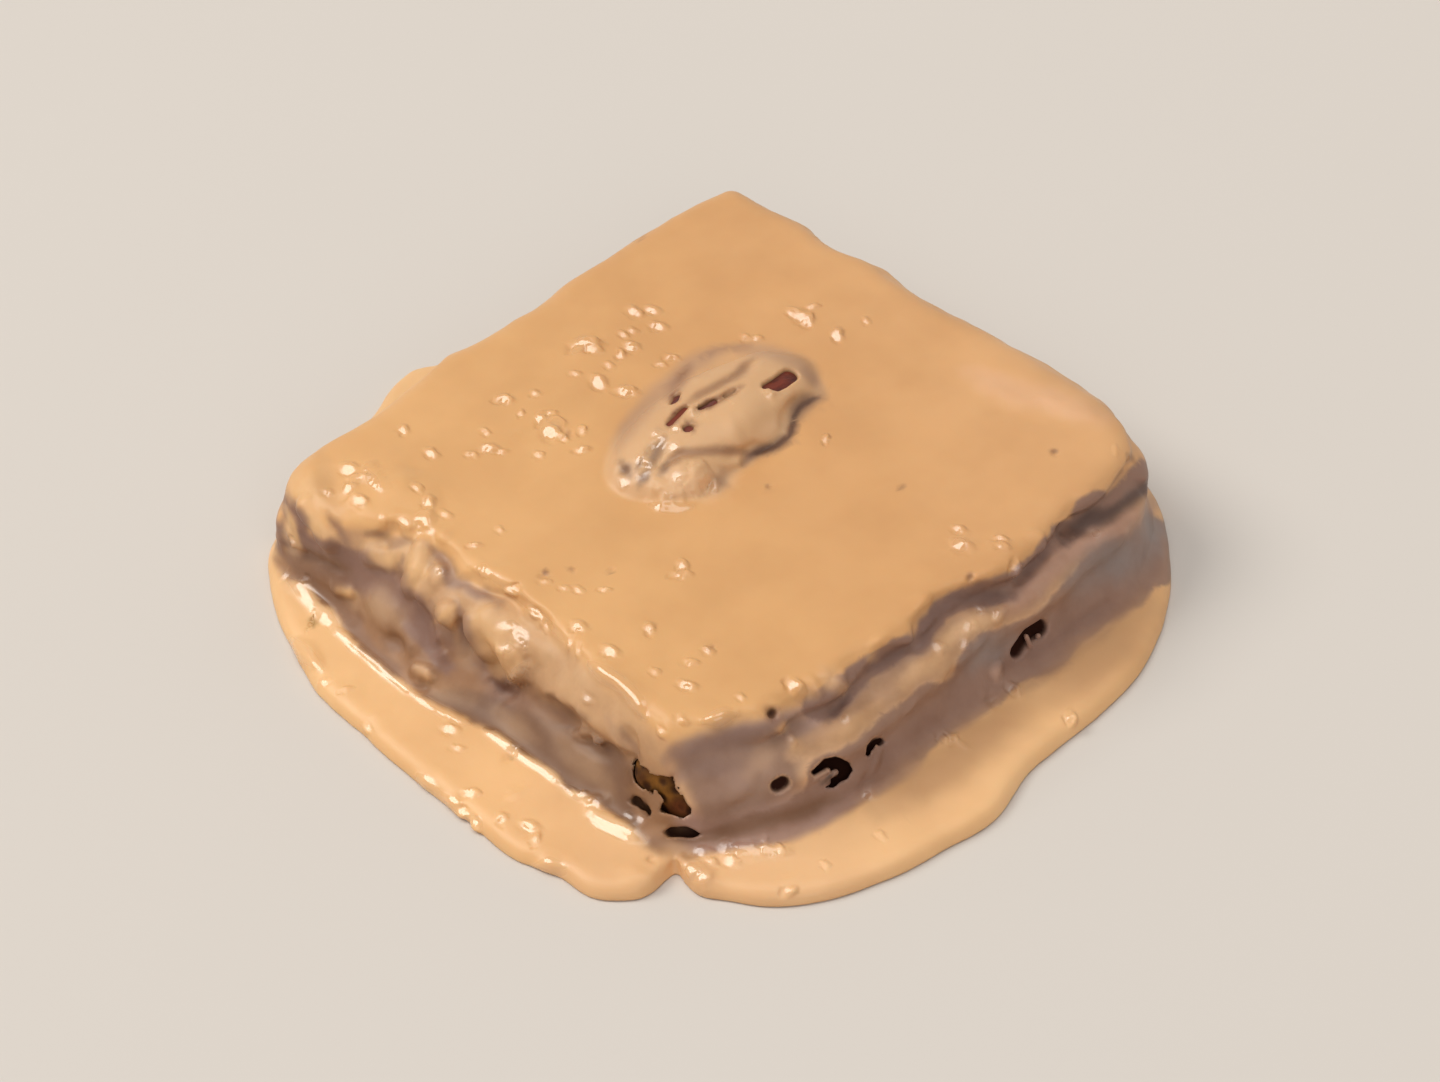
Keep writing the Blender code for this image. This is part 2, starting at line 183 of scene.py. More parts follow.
POOL_RADIUS, POOL_THICK, POOL_LIP, POOL_FILLET = 47.0, 2.5, 2.2, 1.6
NOTCH = -45.6
POOL_LOBES = (
    (NOTCH, 2.0, -2.8),
    (-31.0, 21.0, 8.6),
    (-10.0, 6.0, 2.2),
    (20.0, 20.0, 2.4),
    (-54.0, 4.5, 3.4),
    (-61.0, 7.0, 2.6),
    (-95.0, 17.0, -2.8),
    (-116.0, 7.0, -0.7),
    (-140.0, 9.0, 1.7),
    (-174.8, 6.5, 2.9),
    (180.0, 14.0, -1.2),
    (88.0, 26.0, -5.5),
    (135.0, 10.0, 5.4),
    (-152.0, 5.0, -1.4),
    (-140.0, 4.0, -0.7),
    (-82.0, 8.0, -0.5),
    (-66.0, 4.5, 0.5),
    (-57.5, 5.0, -1.2),
    (-49.0, 3.0, 1.0),
    (-40.0, 4.0, -0.6),
    (-20.0, 5.0, 0.6),
)

# The pecan half: middle, turn from +Y towards -X, half sizes and base height
NUT_MIDDLE = (-2.5, 3.5)
NUT_TURN = math.radians(6.0)
NUT_HALVES = (7.0, 13.7, 3.9)
NUT_BASE = 12.85
FILM = 0.42  # sauce over the nut


def smooth_max(a, b, k):
    h = np.maximum(k - np.abs(a - b), 0.0) / k
    return np.maximum(a, b) + 0.25 * k * h * h


def smooth_min(a, b, k):
    return -smooth_max(-a, -b, k)


def hump(t, middle, half):
    return np.exp(-(((t - middle) / half) ** 2))


def ramp(t, start, end):
    t = np.clip((t - start) / (end - start), 0.0, 1.0)
    return t * t * (3.0 - 2.0 * t)


def rounded_line(corners):
    """A function of one length that follows these corners, with the corners rounded."""
    at = np.arange(-60.0, 60.01, 0.5)
    value = np.interp(at, [c[0] for c in corners], [c[1] for c in corners])
    share = np.exp(-(((at[:, None] - at[None, :]) / 1.1) ** 2))
    value = share @ value / share.sum(1)
    return lambda where: np.interp(where, at, value)


edge_y, edge_x = rounded_line(EDGE_Y), rounded_line(EDGE_X)
foot_y, foot_x = rounded_line(FOOT_Y), rounded_line(FOOT_X)


def skirt(z, spread):
    down = np.clip((SKIRT_TOP - z) / (SKIRT_TOP - SKIRT_FOOT), 0.0, 1.3)
    return spread * down**1.15


def side_faces(x, y, z):
    """How far outside each draped side face a place is: +X, -X, +Y, -Y."""
    slope = np.clip((SLOPE_TOP - z) / (SLOPE_TOP - SLOPE_FOOT), 0.0, 1.2)
    along = ramp(y, -31.0, -21.0)
    roll_at = ROLL_HEIGHT + ROLL_RISE * y
    hollow_at = np.minimum(roll_at + HOLLOW_ABOVE, HOLLOW_MOST)
    face = edge_x(y) + (foot_x(y) - FOOT_BACK - edge_x(y)) * slope
    face = face + along * ROLL_OUT * hump(z, roll_at, ROLL_HALF)
    face = face - along * HOLLOW_IN * hump(z, hollow_at, HOLLOW_HALF)
    x_high = x - face

    face = -FACE_X_LOW + 1.2 * ramp(y, 2.0, 12.0) - 1.5 * ramp(y, -6.0, -17.0)
    face = face + 0.6 * hump(y, 18.0, 5.0) - 0.6 * hump(y, 6.0, 4.0)
    face = face + 0.8 * hump(y, -8.0, 4.0) - 0.6 * hump(y, -20.0, 4.0)
    x_low = -x - (face + skirt(z, SKIRT_X_LOW) + 0.35 * np.sin(y * 0.31))

    face = FACE_Y_HIGH + 0.6 * hump(x, 13.0, 6.0) - 0.7 * ramp(x, 24.0, 33.0)
    face = face - 0.7 * hump(x, -1.0, 5.0) + 0.6 * hump(x, -12.0, 3.0)
    face = face - 0.8 * hump(x, -19.0, 4.0) - 0.5 * hump(x, 24.0, 4.0)
    y_high = y - (face + skirt(z, SKIRT_Y_HIGH) + 0.3 * np.sin(x * 0.27 + 1.0))

    face = -edge_y(x) + (edge_y(x) - foot_y(x) - FOOT_BACK) * slope
    face = face + 0.5 * hump(z, 10.0, 1.8) * ramp(x, -16.0, -8.0)
    face = face - 0.9 * hump(z, 6.2, 1.6) * ramp(x, -12.0, 2.0) * ramp(x, 28.0, 22.0)
    y_low = -y - face
    return x_high, x_low, y_high, y_low


def top_height(x, y):
    wave = 0.16 * np.sin(x * 0.19 + 0.7) * np.sin(y * 0.16 - 0.4)
    lip = 0.45 * hump(x, 18.0, 8.0) * hump(y, 30.5, 2.2)
    swell = 0.55 * hump(x, -18.0, 6.5) * hump(y, -25.0, 3.2)
    return TOP + wave + lip + swell


def pool_rim(x, y):
    bearing = np.degrees(np.arctan2(y, x))
    rim = np.full_like(bearing, POOL_RADIUS)
    for at, half, out in POOL_LOBES:
        off = (bearing - at + 180.0) % 360.0 - 180.0
        rim = rim + out * np.exp(-((off / half) ** 2))
    return rim


def corner_rounding(x, y, z):
    high_x, high_y = ramp(x, -10.0, 10.0), ramp(y, -10.0, 10.0)
    share = {
        "front": high_x * (1.0 - high_y),
        "right": high_x * high_y,
        "back": (1.0 - high_x) * high_y,
        "left": (1.0 - high_x) * (1.0 - high_y),
    }
    at_top = CORNER_TOP + sum(share[k] * CORNER_TOP_MORE[k] for k in share)
    at_foot = sum(share[k] * CORNER_FOOT[k] for k in share)
    return at_top + (at_foot - at_top) * ramp(z, 12.5, 2.0)


def plain_coat(x, y, z):
    """Below zero inside the coat and its pool, taken as filled, before any detail."""
    x_high, x_low, y_high, y_low = side_faces(x, y, z)
    over = z - top_height(x, y)
    side = np.maximum(x_high, x_low), np.maximum(y_high, y_low)
    side = smooth_max(*side, corner_rounding(x, y, z))
    near = [np.exp(face / 2.5) for face in (x_high, x_low, y_high, y_low)]
    round_off = sum(n * k for n, k in zip(near, SHOULDERS))
    round_off = (round_off + near[3] * SHOULDER_LEFT * ramp(x, -14.0, -21.0)) / sum(near)
    body = smooth_max(side, over, round_off)
    out = np.hypot(x, y) - pool_rim(x, y)
    thick = POOL_THICK - 0.8 * ramp(out, -10.0, -1.0)
    pool = smooth_max(out, z - thick, POOL_LIP)
    return smooth_min(body, pool, POOL_FILLET)


def nut_axes(x, y):
    dx, dy = x - NUT_MIDDLE[0], y - NUT_MIDDLE[1]
    across = dx * math.cos(NUT_TURN) + dy * math.sin(NUT_TURN)
    along = -dx * math.sin(NUT_TURN) + dy * math.cos(NUT_TURN)
    return across, along


def nut_dome(x, y, z):
    """Below zero inside the plain half nut."""
    across, along = nut_axes(x, y)
    up = np.maximum(z - NUT_BASE, -0.2)
    rx, ry, rz = NUT_HALVES
    rx = rx * (1.0 - 0.06 * along / ry)
    k0 = np.sqrt((across / rx) ** 2 + (along / ry) ** 2 + (up / rz) ** 2) + 1e-6
    k1 = np.sqrt((across / rx**2) ** 2 + (along / ry**2) ** 2 + (up / rz**2) ** 2) + 1e-6
    return k0 * (k0 - 1.0) / k1


def rounded_block(x, y, z, grow=0.0):
    """Below zero inside the baked block, grown by a clearance."""
    half = BLOCK_SIDE / 2.0 + grow
    corner = BLOCK_CORNER + grow
    qx, qy = np.abs(x) - half + corner, np.abs(y) - half + corner
    side = (
        np.hypot(np.maximum(qx, 0.0), np.maximum(qy, 0.0))
        + np.minimum(np.maximum(qx, qy), 0.0)
        - corner
    )
    over = z - (BLOCK_HEIGHT + grow)
    edge = BLOCK_EDGE
    a, b = side + edge, over + edge
    return (
        np.hypot(np.maximum(a, 0.0), np.maximum(b, 0.0))
        + np.minimum(np.maximum(a, b), 0.0)
        - edge
    )


# ---------------------------------------------------------------- noise
WAVER = 0.55  # how far the strokes' lines are pushed about


def lattice_noise(x, y, z, scale, seed):
    """Smooth noise from -1 to 1 on a lattice of the given pitch."""
    table = np.random.RandomState(seed).uniform(-1.0, 1.0, (32, 32, 32)).astype(np.float32)
    total = None
    cells, shares = [], []
    for t in (x, y, z):
        t = np.asarray(t, np.float32) / scale + 64.0
        low = np.floor(t)
        part = t - low
        cells.append(low.astype(np.int32))
        shares.append(part * part * part * (part * (part * 6.0 - 15.0) + 10.0))
    for dx in (0, 1):
        wx = shares[0] if dx else 1.0 - shares[0]
        for dy in (0, 1):
            wy = shares[1] if dy else 1.0 - shares[1]
            for dz in (0, 1):
                wz = shares[2] if dz else 1.0 - shares[2]
                value = table[
                    (cells[0] + dx) & 31, (cells[1] + dy) & 31, (cells[2] + dz) & 31
                ]
                value = value * wx * wy * wz
                total = value if total is None else total + value
    return total


# ---------------------------------------------------------------- places on the coat
def plain_body(points):
    x, y, z = points.T
    return np.minimum(plain_coat(x, y, z), nut_dome(x, y, z) - FILM)


def on_coat(pairs, body=plain_body):
    """Where the camera's lines through these places of its frame first meet the coat."""
    pairs = np.atleast_2d(np.asarray(pairs, float))
    way = (
        -BACK[None]
        + ((pairs[:, :1] - 720.0) / CAM_FOCAL) * RIGHT
        - ((pairs[:, 1:] - 541.0) / CAM_FOCAL) * UP
    )
    first = (18.5 - PLACE[2]) / way[:, 2]
    last = (0.4 - PLACE[2]) / way[:, 2]
    steps = np.linspace(0.0, 1.0, 160)
    t = first[:, None] + (last - first)[:, None] * steps[None]
    p = PLACE[None, None] + way[:, None] * t[..., None]
    value = body(p.reshape(-1, 3)).reshape(t.shape)
    inside = value < 0
    hit = np.where(inside.any(1), inside.argmax(1), np.abs(value).argmin(1))
    hit = np.maximum(hit, 1)
    rows = np.arange(len(pairs))
    lo, hi = t[rows, hit - 1], t[rows, hit]
    for _ in range(12):
        mid = 0.5 * (lo + hi)
        within = body(PLACE[None] + way * mid[:, None]) < 0
        lo, hi = np.where(within, lo, mid), np.where(within, mid, hi)
    return PLACE[None] + way * lo[:, None]


def in_frame(points):
    """Where these places show in the camera's frame, and how far off they are."""
    way = points - PLACE
    depth = -(way @ BACK)
    across = 720.0 + CAM_FOCAL * (way @ RIGHT) / depth
    return across, 541.0 - CAM_FOCAL * (way @ UP) / depth, depth


def expand(strokes, body=plain_body):
    """[(pairs, radius, height)] to [(path in mm, radius, height)]."""
    paths = [np.atleast_2d(np.asarray(path, float)) for path, _, _ in strokes]
    found = on_coat(np.concatenate(paths), body)
    ends = np.cumsum([len(path) for path in paths])
    found = np.split(found, ends[:-1])
    return [(path, r, h) for path, (_, r, h) in zip(found, strokes)]


def path_distance(x, y, z, path):
    """The squared distance to a path, how far that place on it is from the path's nearer
    end, and the path's length."""
    best = along = None
    start = 0.0
    ends = zip(path[:-1], path[1:]) if len(path) > 1 else [(path[0], path[0])]
    for a, b in ends:
        d = b - a
        size = float(d @ d)
        if size > 1e-9:
            t = ((x - a[0]) * d[0] + (y - a[1]) * d[1] + (z - a[2]) * d[2]) / size
            t = np.clip(t, 0.0, 1.0)
        else:
            t = 0.0
        here = (
            (x - a[0] - t * d[0]) ** 2
            + (y - a[1] - t * d[1]) ** 2
            + (z - a[2] - t * d[2]) ** 2
        )
        at = start + t * math.sqrt(size) + 0.0 * here
        if best is None:
            best, along = here, at
        else:
            closer = here < best
            best, along = np.where(closer, here, best), np.where(closer, at, along)
        start += math.sqrt(size)
    return best, np.minimum(along, start - along), start


def end_fade(to_end, length, radius):
    """How strong a stroke is: less towards its two ends, so that it has no blunt end."""
    if length < 1e-6:
        return 1.0
    rise = min(2.2 * radius, 0.5 * length)
    return 0.22 + 0.78 * ramp(to_end, -0.1 * rise, rise)


def wavered(x, y, z, waver):
    """The same places pushed about a little, so that no stroke runs like a pen line."""
    flat = 0.0 * (x * y * z)
    x, y, z = x + flat, y + flat, z + flat
    return tuple(
        t + waver * lattice_noise(x, y, z, 2.6, seed)
        for t, seed in ((x, 61), (y, 62), (z, 63))
    )


def sunk(blobs, body=plain_body):
    """[(pairs, radius, depth)] to [(path in mm, radius, 0)], the path that far inside."""
    made = []
    for path, radius, depth in expand(blobs, body):
        slope = []
        for axis in range(3):
            off = np.zeros(3)
            off[axis] = 0.3
            slope.append(body(path + off) - body(path - off))
        slope = np.stack(slope, 1)
        slope /= np.linalg.norm(slope, axis=1)[:, None]
        made.append((path - depth * slope, radius, 0))
    return made


def from_outline(px, py, corners):
    """How far places are from a closed outline, below zero inside it."""
    corners = np.asarray(corners, float)
    ring = np.concatenate([corners, corners[:1]])
    within = np.zeros(len(px), bool)
    for (ax, ay), (bx, by) in zip(ring[:-1], ring[1:]):
        if ay != by:
            crosses = (ay > py) != (by > py)
            within ^= crosses & (px < ax + (py - ay) * (bx - ax) / (by - ay))
    flat = np.concatenate([ring, np.zeros((len(ring), 1))], 1)
    return np.sqrt(path_distance(px, py, 0.0, flat)[0]) * np.where(within, -1.0, 1.0)


class Places:
    """Where a field is worked out: a whole grid, or a plain list of points."""

    def __init__(self, x, y, z, grid):
        self.x, self.y, self.z, self.grid = x, y, z, grid

    def near(self, path, reach):
        low, high = path.min(0) - reach, path.max(0) + reach
        if self.grid:
            cut = []
            for axis, t in enumerate((self.x, self.y, self.z)):
                t = t.reshape(-1)
                a, b = np.searchsorted(t, [low[axis], high[axis]])
                if b <= a:
                    return None
                cut.append(slice(a, b))
            cut = tuple(cut)
            return cut, (
                self.x[cut[0]],
                self.y[:, cut[1]],
                self.z[:, :, cut[2]],
            )
        inside = (
            (self.x > low[0])
            & (self.x < high[0])
            & (self.y > low[1])
            & (self.y < high[1])
            & (self.z > low[2])
            & (self.z < high[2])
        )
        where = np.nonzero(inside)[0]
        if not len(where):
            return None
        return where, (self.x[where], self.y[where], self.z[where])


def raise_strokes(field, places, strokes, waver=WAVER):
    """Moves the surface out by each stroke's height, fading over its radius."""
    for path, radius, height in strokes:
        found = places.near(path, 2.5 * radius + waver)
        if found is None:
            continue
        where, (x, y, z) = found
        x, y, z = wavered(x, y, z, waver)
        d2, to_end, length = path_distance(x, y, z, path)
        fade = end_fade(to_end, length, radius)
        field[where] -= height * fade * np.exp(-d2 / (radius * (0.55 + 0.45 * fade)) ** 2)


def raise_glints(field, places, groups):
    """Short risings, steep on the side that shines and long and low behind. Those of one
    group run into one another without adding up."""
    for middles, frames, radius, heights, tail in groups:
        found = places.near(middles, 2.3 * radius * tail)
        if found is None:
            continue
        where, (x, y, z) = found
        flat = 0.0 * (x * y * z)
        x, y, z = x + flat, y + flat, z + flat
        uneven = 0.34 * radius
        x, y = (t + uneven * lattice_noise(x, y, z, 0.75, seed) for t, seed in ((x, 64), (y, 65)))
        most = None
        for middle, frame, height in zip(middles, frames, heights):
            d = x - middle[0], y - middle[1], z - middle[2]
            lit, across, up = (sum(t * a for t, a in zip(d, axis)) for axis in frame)
            across = np.maximum(np.abs(across) - 0.7 * radius, 0.0) / radius
            lit = np.where(lit > 0.0, lit / radius, lit / (radius * tail))
            up = up / (1.8 * radius)
            here = height * np.exp(-(across**2 + lit**2 + up**2))
            most = here if most is None else np.maximum(most, here)
        field[where] -= most


def raise_facets(field, places, facets):
    """Small uneven slopes, each tilted to mirror the key light to the camera."""
    total, weight = np.zeros_like(field), np.zeros_like(field)
    for middle, frame, tilt, short, turn in facets:
        long = 1.7 * short
        found = places.near(middle[None, :], 1.5 * long)
        if found is None:
            continue
        where, (x, y, z) = found
        flat = 0.0 * (x * y * z)
        x, y, z = x + flat, y + flat, z + flat
        x, y = (t + 0.20 * lattice_noise(x, y, z, 0.8, seed) for t, seed in ((x, 64), (y, 65)))
        d = x - middle[0], y - middle[1], z - middle[2]
        lit, across, up = (sum(t * a for t, a in zip(d, axis)) for axis in frame)
        u = (math.cos(turn) * lit + math.sin(turn) * across) / short
        v = (math.cos(turn) * across - math.sin(turn) * lit) / long
        share = np.exp(-((u * u + v * v) ** 2 + (up / (1.5 * long)) ** 2))
        total[where] += share * tilt * (0.35 * short - lit)
        weight[where] += share
    field -= total / np.maximum(weight, 1.0)


def join_blobs(field, places, blobs, k):
    for path, radius, _ in blobs:
        found = places.near(path, radius + 2.0 * k + 1.0)
        if found is None:
            continue
        where, (x, y, z) = found
        d = np.sqrt(path_distance(x, y, z, path)[0]) - radius
        field[where] = smooth_min(field[where], d, k)


def cut_blobs(field, places, blobs, k):
    for path, radius, _ in blobs:
        found = places.near(path, radius + 2.0 * k + 1.0)
        if found is None:
            continue
        where, (x, y, z) = found
        d = np.sqrt(path_distance(x, y, z, path)[0]) - radius
        field[where] = smooth_max(field[where], -d, k)


# ---------------------------------------------------------------- detail of the coat
# Each stroke is (path, radius, height): a rounded ridge or, below zero, a groove.
FACE_Y_STROKES = [
    # the crisp edge between the top and the -Y face, which swells towards its front end
    (((478, 560), (511, 584), (538, 608), (568, 638), (592, 662)), 0.9, 0.18),
    (((592, 662), (619, 681), (637, 699), (644, 716)), 1.0, 0.30),
    # the fold under it
    (((430, 544), (447, 560), (453, 579), (480, 594), (500, 599), (524, 611)), 1.0, -0.75),
    (((524, 611), (548, 640), (572, 664)), 1.2, -0.25),
    # round the big lump: its rim and the slit under it
    (((508, 626), (520, 636), (525, 652)), 0.8, 0.35),
    (((526, 660), (518, 672), (506, 682)), 0.8, 0.40),
    (((488, 681), (502, 690), (517, 698)), 0.95, -1.7),
    (((464, 610), (464, 634), (470, 656), (484, 676)), 0.85, -0.85),
    (((434, 606), (446, 630), (458, 644)), 0.8, -0.5),
    (((524, 676), (536, 664), (540, 646)), 0.8, -0.35),
    # between the lumps to the left of it
    (((366, 536), (390, 540), (412, 541)), 1.0, -0.7),
    (((399, 560), (403, 574), (402, 590)), 0.9, -0.6),
    (((420, 600), (426, 620), (434, 640), (448, 658)), 0.9, -0.6),
    (((386, 636), (400, 644), (412, 649)), 1.2, -0.6),
    (((414, 684), (434, 688)), 0.8, -0.50),
    (((352, 612), (372, 640)), 1.4, -0.3),
    (((340, 606), (360, 630)), 1.0, 0.25),
    # the folds at the left corner
    (((289, 500), (303, 524), (320, 543)), 0.9, -0.75),
    (((326, 512), (338, 532), (350, 548)), 0.9, -0.45),
    (((280, 545), (296, 557), (326, 562), (346, 572)), 0.9, -0.6),
    # the lower edge of the upper roll and the hollow under it
    (((538, 684), (556, 704), (586, 716), (606, 730), (634, 758)), 1.3, 0.35),
    (((530, 702), (556, 718), (588, 724)), 1.3, -0.75),
    (((546, 700), (566, 711), (586, 718)), 0.8, -0.45),
    (((606, 718), (618, 738), (628, 756)), 0.9, 0.35),
    (((620, 726), (632, 746), (638, 762)), 0.6, -0.45),
    (((572, 743), (596, 746), (616, 752), (638, 768)), 0.8, -0.60),
    (((576, 732), (590, 733)), 0.9, 0.45),
    (((598, 740),), 0.6, 0.35),
    (((622, 738), (636, 748)), 0.7, -0.35),
]

# Rounded lumps that stand out from the -Y face: (path, radius, how far sunk into it)
LUMPS = [
    (((496, 622), (506, 640), (512, 658)), 2.7, 1.35),
    (((476, 630), (486, 650)), 2.3, 1.3),
    (((449, 616),), 1.7, 0.75),
    (((371, 557), (394, 556)), 1.7, 0.9),
    (((423, 550), (419, 568), (413, 583)), 1.7, 0.8),
    (((440, 570), (437, 578)), 1.1, 0.45),
    (((430, 588), (424, 594)), 1.0, 0.55),
    (((338, 588), (351, 592)), 0.9, 0.4),
    (((417, 670), (430, 673)), 1.0, 0.4),
    (((398, 622), (412, 646)), 1.5, 1.1),
    (((440, 640), (446, 652)), 1.2, 0.8),
    (((283, 524), (290, 536), (299, 549)), 1.1, 0.75),
    (((304, 508), (316, 526), (328, 540)), 1.4, 0.65),
    (((374, 600), (392, 616)), 3.0, 2.5),
    (((598, 738),), 0.8, 0.5),
    (((574, 731), (590, 733)), 1.0, 0.7),
]

TOP_STROKES = [
    # the raised patch behind the left corner
    (((350, 474), (352, 492), (364, 508), (382, 518)), 1.0, 0.24),
    (((395, 519), (412, 522), (428, 526)), 1.1, 0.26),
    (((436, 528), (448, 540)), 1.3, 0.28),
    (((380, 482), (415, 490)), 2.6, 0.30),
    (((345, 520), (380, 524), (408, 530)), 1.4, 0.2),
    (((322, 462), (332, 490), (346, 512)), 1.4, -0.30),
    (((440, 488), (448, 512)), 1.0, -0.15),
    (((398, 462), (430, 470)), 1.2, -0.16),
    # low risings over the top
    (((560, 350), (604, 350)), 1.6, 0.16),
    (((548, 424), (556, 438)), 1.5, 0.18),
    (((568, 433),), 0.55, -0.30),
    (((500, 430), (520, 440)), 1.4, 0.12),
    (((762, 306), (800, 314)), 1.4, 0.14),
    (((961, 540), (962, 556)), 1.3, 0.30),
    (((1000, 538), (1003, 555)), 1.2, 0.30),
    (((655, 668), (640, 640)), 1.4, 0.14),
    (((684, 640), (708, 655)), 1.6, 0.12),
    (((708, 644), (716, 648)), 0.5, -0.16),
    # the front edge
    (((704, 722), (735, 713)), 0.9, 0.45),
    (((682, 724), (660, 733)), 1.0, 0.22),
    (((690, 700), (740, 694)), 1.4, -0.12),
    # the lip along the far edge
    (((970, 380), (1010, 395), (1060, 405), (1100, 418)), 1.6, 0.3),
    (((985, 405), (1030, 420), (1080, 425)), 1.2, -0.2),
    (((1114, 449), (1124, 451)), 0.7, 0.35),
    (((1124, 458), (1132, 464)), 0.6, -0.35),
    (((392, 372), (420, 360), (452, 352)), 1.2, 0.2),
    # pits and specks
    (((546, 575),), 0.40, -0.28),
    (((1055, 451),), 0.40, -0.30),
    (((901, 488),), 0.32, -0.2),
    (((768, 487),), 0.35, -0.2),
    (((971, 579),), 0.45, -0.35),
    (((571, 573),), 0.32, -0.15),
    (((612, 571),), 0.32, -0.15),
]

FACE_X_STROKES = [
    # lobes that hang over the wavy edge of the top
    (((770, 716), (790, 700)), 0.9, 0.30),
    (((826, 676), (844, 686)), 1.1, 0.85),
    (((806, 690), (822, 684)), 1.0, 0.35),
    (((868, 652), (896, 640)), 1.2, 0.40),
    (((920, 614), (934, 596)), 1.0, 0.45),
    (((960, 586), (985, 578), (1010, 568)), 0.9, 0.30),
    (((1030, 546), (1048, 534)), 1.0, 0.45),
    (((1072, 512), (1080, 500), (1104, 492)), 1.0, 0.40),
    # the groove under it
    (((846, 692), (838, 706), (828, 721)), 0.75, -0.75),
    (((862, 672), (884, 660), (906, 648)), 1.0, -0.75),
    (((911, 652), (922, 632), (931, 614), (950, 600), (970, 595), (1019, 599)), 0.9, -0.95),
    (((1014, 590), (1034, 566), (1054, 548)), 0.9, -0.65),
    (((1060, 538), (1073, 525), (1109, 517), (1134, 498), (1150, 483)), 1.0, -1.15),
    (((1056, 530), (1066, 531), (1070, 541)), 0.5, -0.4),
    (((784, 706), (806, 702), (822, 698)), 1.0, -0.35),
    # the roll below the groove
    (((819, 742), (853, 724), (875, 711), (905, 690)), 1.3, 0.55),
    (((900, 684), (928, 661), (962, 638)), 1.6, 0.80),
    (((960, 630), (976, 620), (998, 616)), 1.2, 0.65),
    (((1006, 606), (1030, 592), (1064, 560), (1096, 538), (1150, 508)), 1.1, 0.60),
    (((938, 645), (946, 652)), 0.8, 0.45),
    (((860, 706), (884, 692)), 0.9, -0.30),
    (((995, 662), (997, 678)), 0.85, 0.55),
    (((781, 726),), 0.65, 0.50),
    (((791, 739),), 0.60, 0.45),
    (((909, 700), (913, 712)), 1.0, 0.45),
    # the lower edge of that roll
    (((802, 752), (830, 750), (862, 728), (900, 708), (925, 692)), 0.9, -0.45),
    (((940, 686), (970, 666), (990, 642), (1020, 614), (1060, 578)), 1.0, -0.45),
    # the face under it
    (((690, 770), (720, 750), (750, 742)), 1.3, -0.35),
    (((678, 800), (700, 806), (726, 800)), 1.8, 0.30),
    (((764, 770), (756, 797), (724, 818)), 0.8, -0.30),
    (((862, 768), (868, 786), (852, 798)), 0.8, -0.25),
    (((872, 758), (882, 766)), 1.0, 0.45),
    (((812, 752), (850, 748)), 1.0, 0.2),
    (((990, 690), (997, 704)), 0.8, -0.5),
    (((700, 838), (768, 824), (821, 806), (864, 788)), 1.0, -0.30),
]

POOL_STROKES = [
    # the raised rim of the pool beside the foot
    (((592, 802),), 0.7, 0.45),
    (((500, 752), (514, 760)), 0.7, -0.40),
    (((719, 850), (750, 848), (780, 851)), 0.7, 0.35),
    # the crease where the two streams meet
    (((672, 856), (677, 872), (679, 886)), 0.8, -0.6),
    (((652, 868), (640, 886)), 1.5, 0.25),
    (((686, 866), (702, 880)), 0.9, 0.35),
    (((648, 852), (652, 862)), 0.5, -0.25),
    # risings and dents in the pool
    (((511, 752),), 0.6, -0.3),
    (((310, 621), (313, 621)), 0.90, -0.45),
    (((512, 790), (520, 800)), 1.2, 0.20),
    (((470, 792), (430, 770)), 1.2, 0.12),
    (((380, 712),), 0.9, 0.12),
    (((300, 640), (320, 662)), 0.9, 0.20),
    (((790, 868), (800, 880)), 1.2, 0.1),
    (((955, 742), (962, 736)), 1.0, 0.20),
    (((620, 870), (650, 880)), 1.6, 0.15),
    (((880, 812), (930, 790)), 2.4, 0.12),
    (((1010, 745), (1050, 715)), 2.6, 0.15),
]

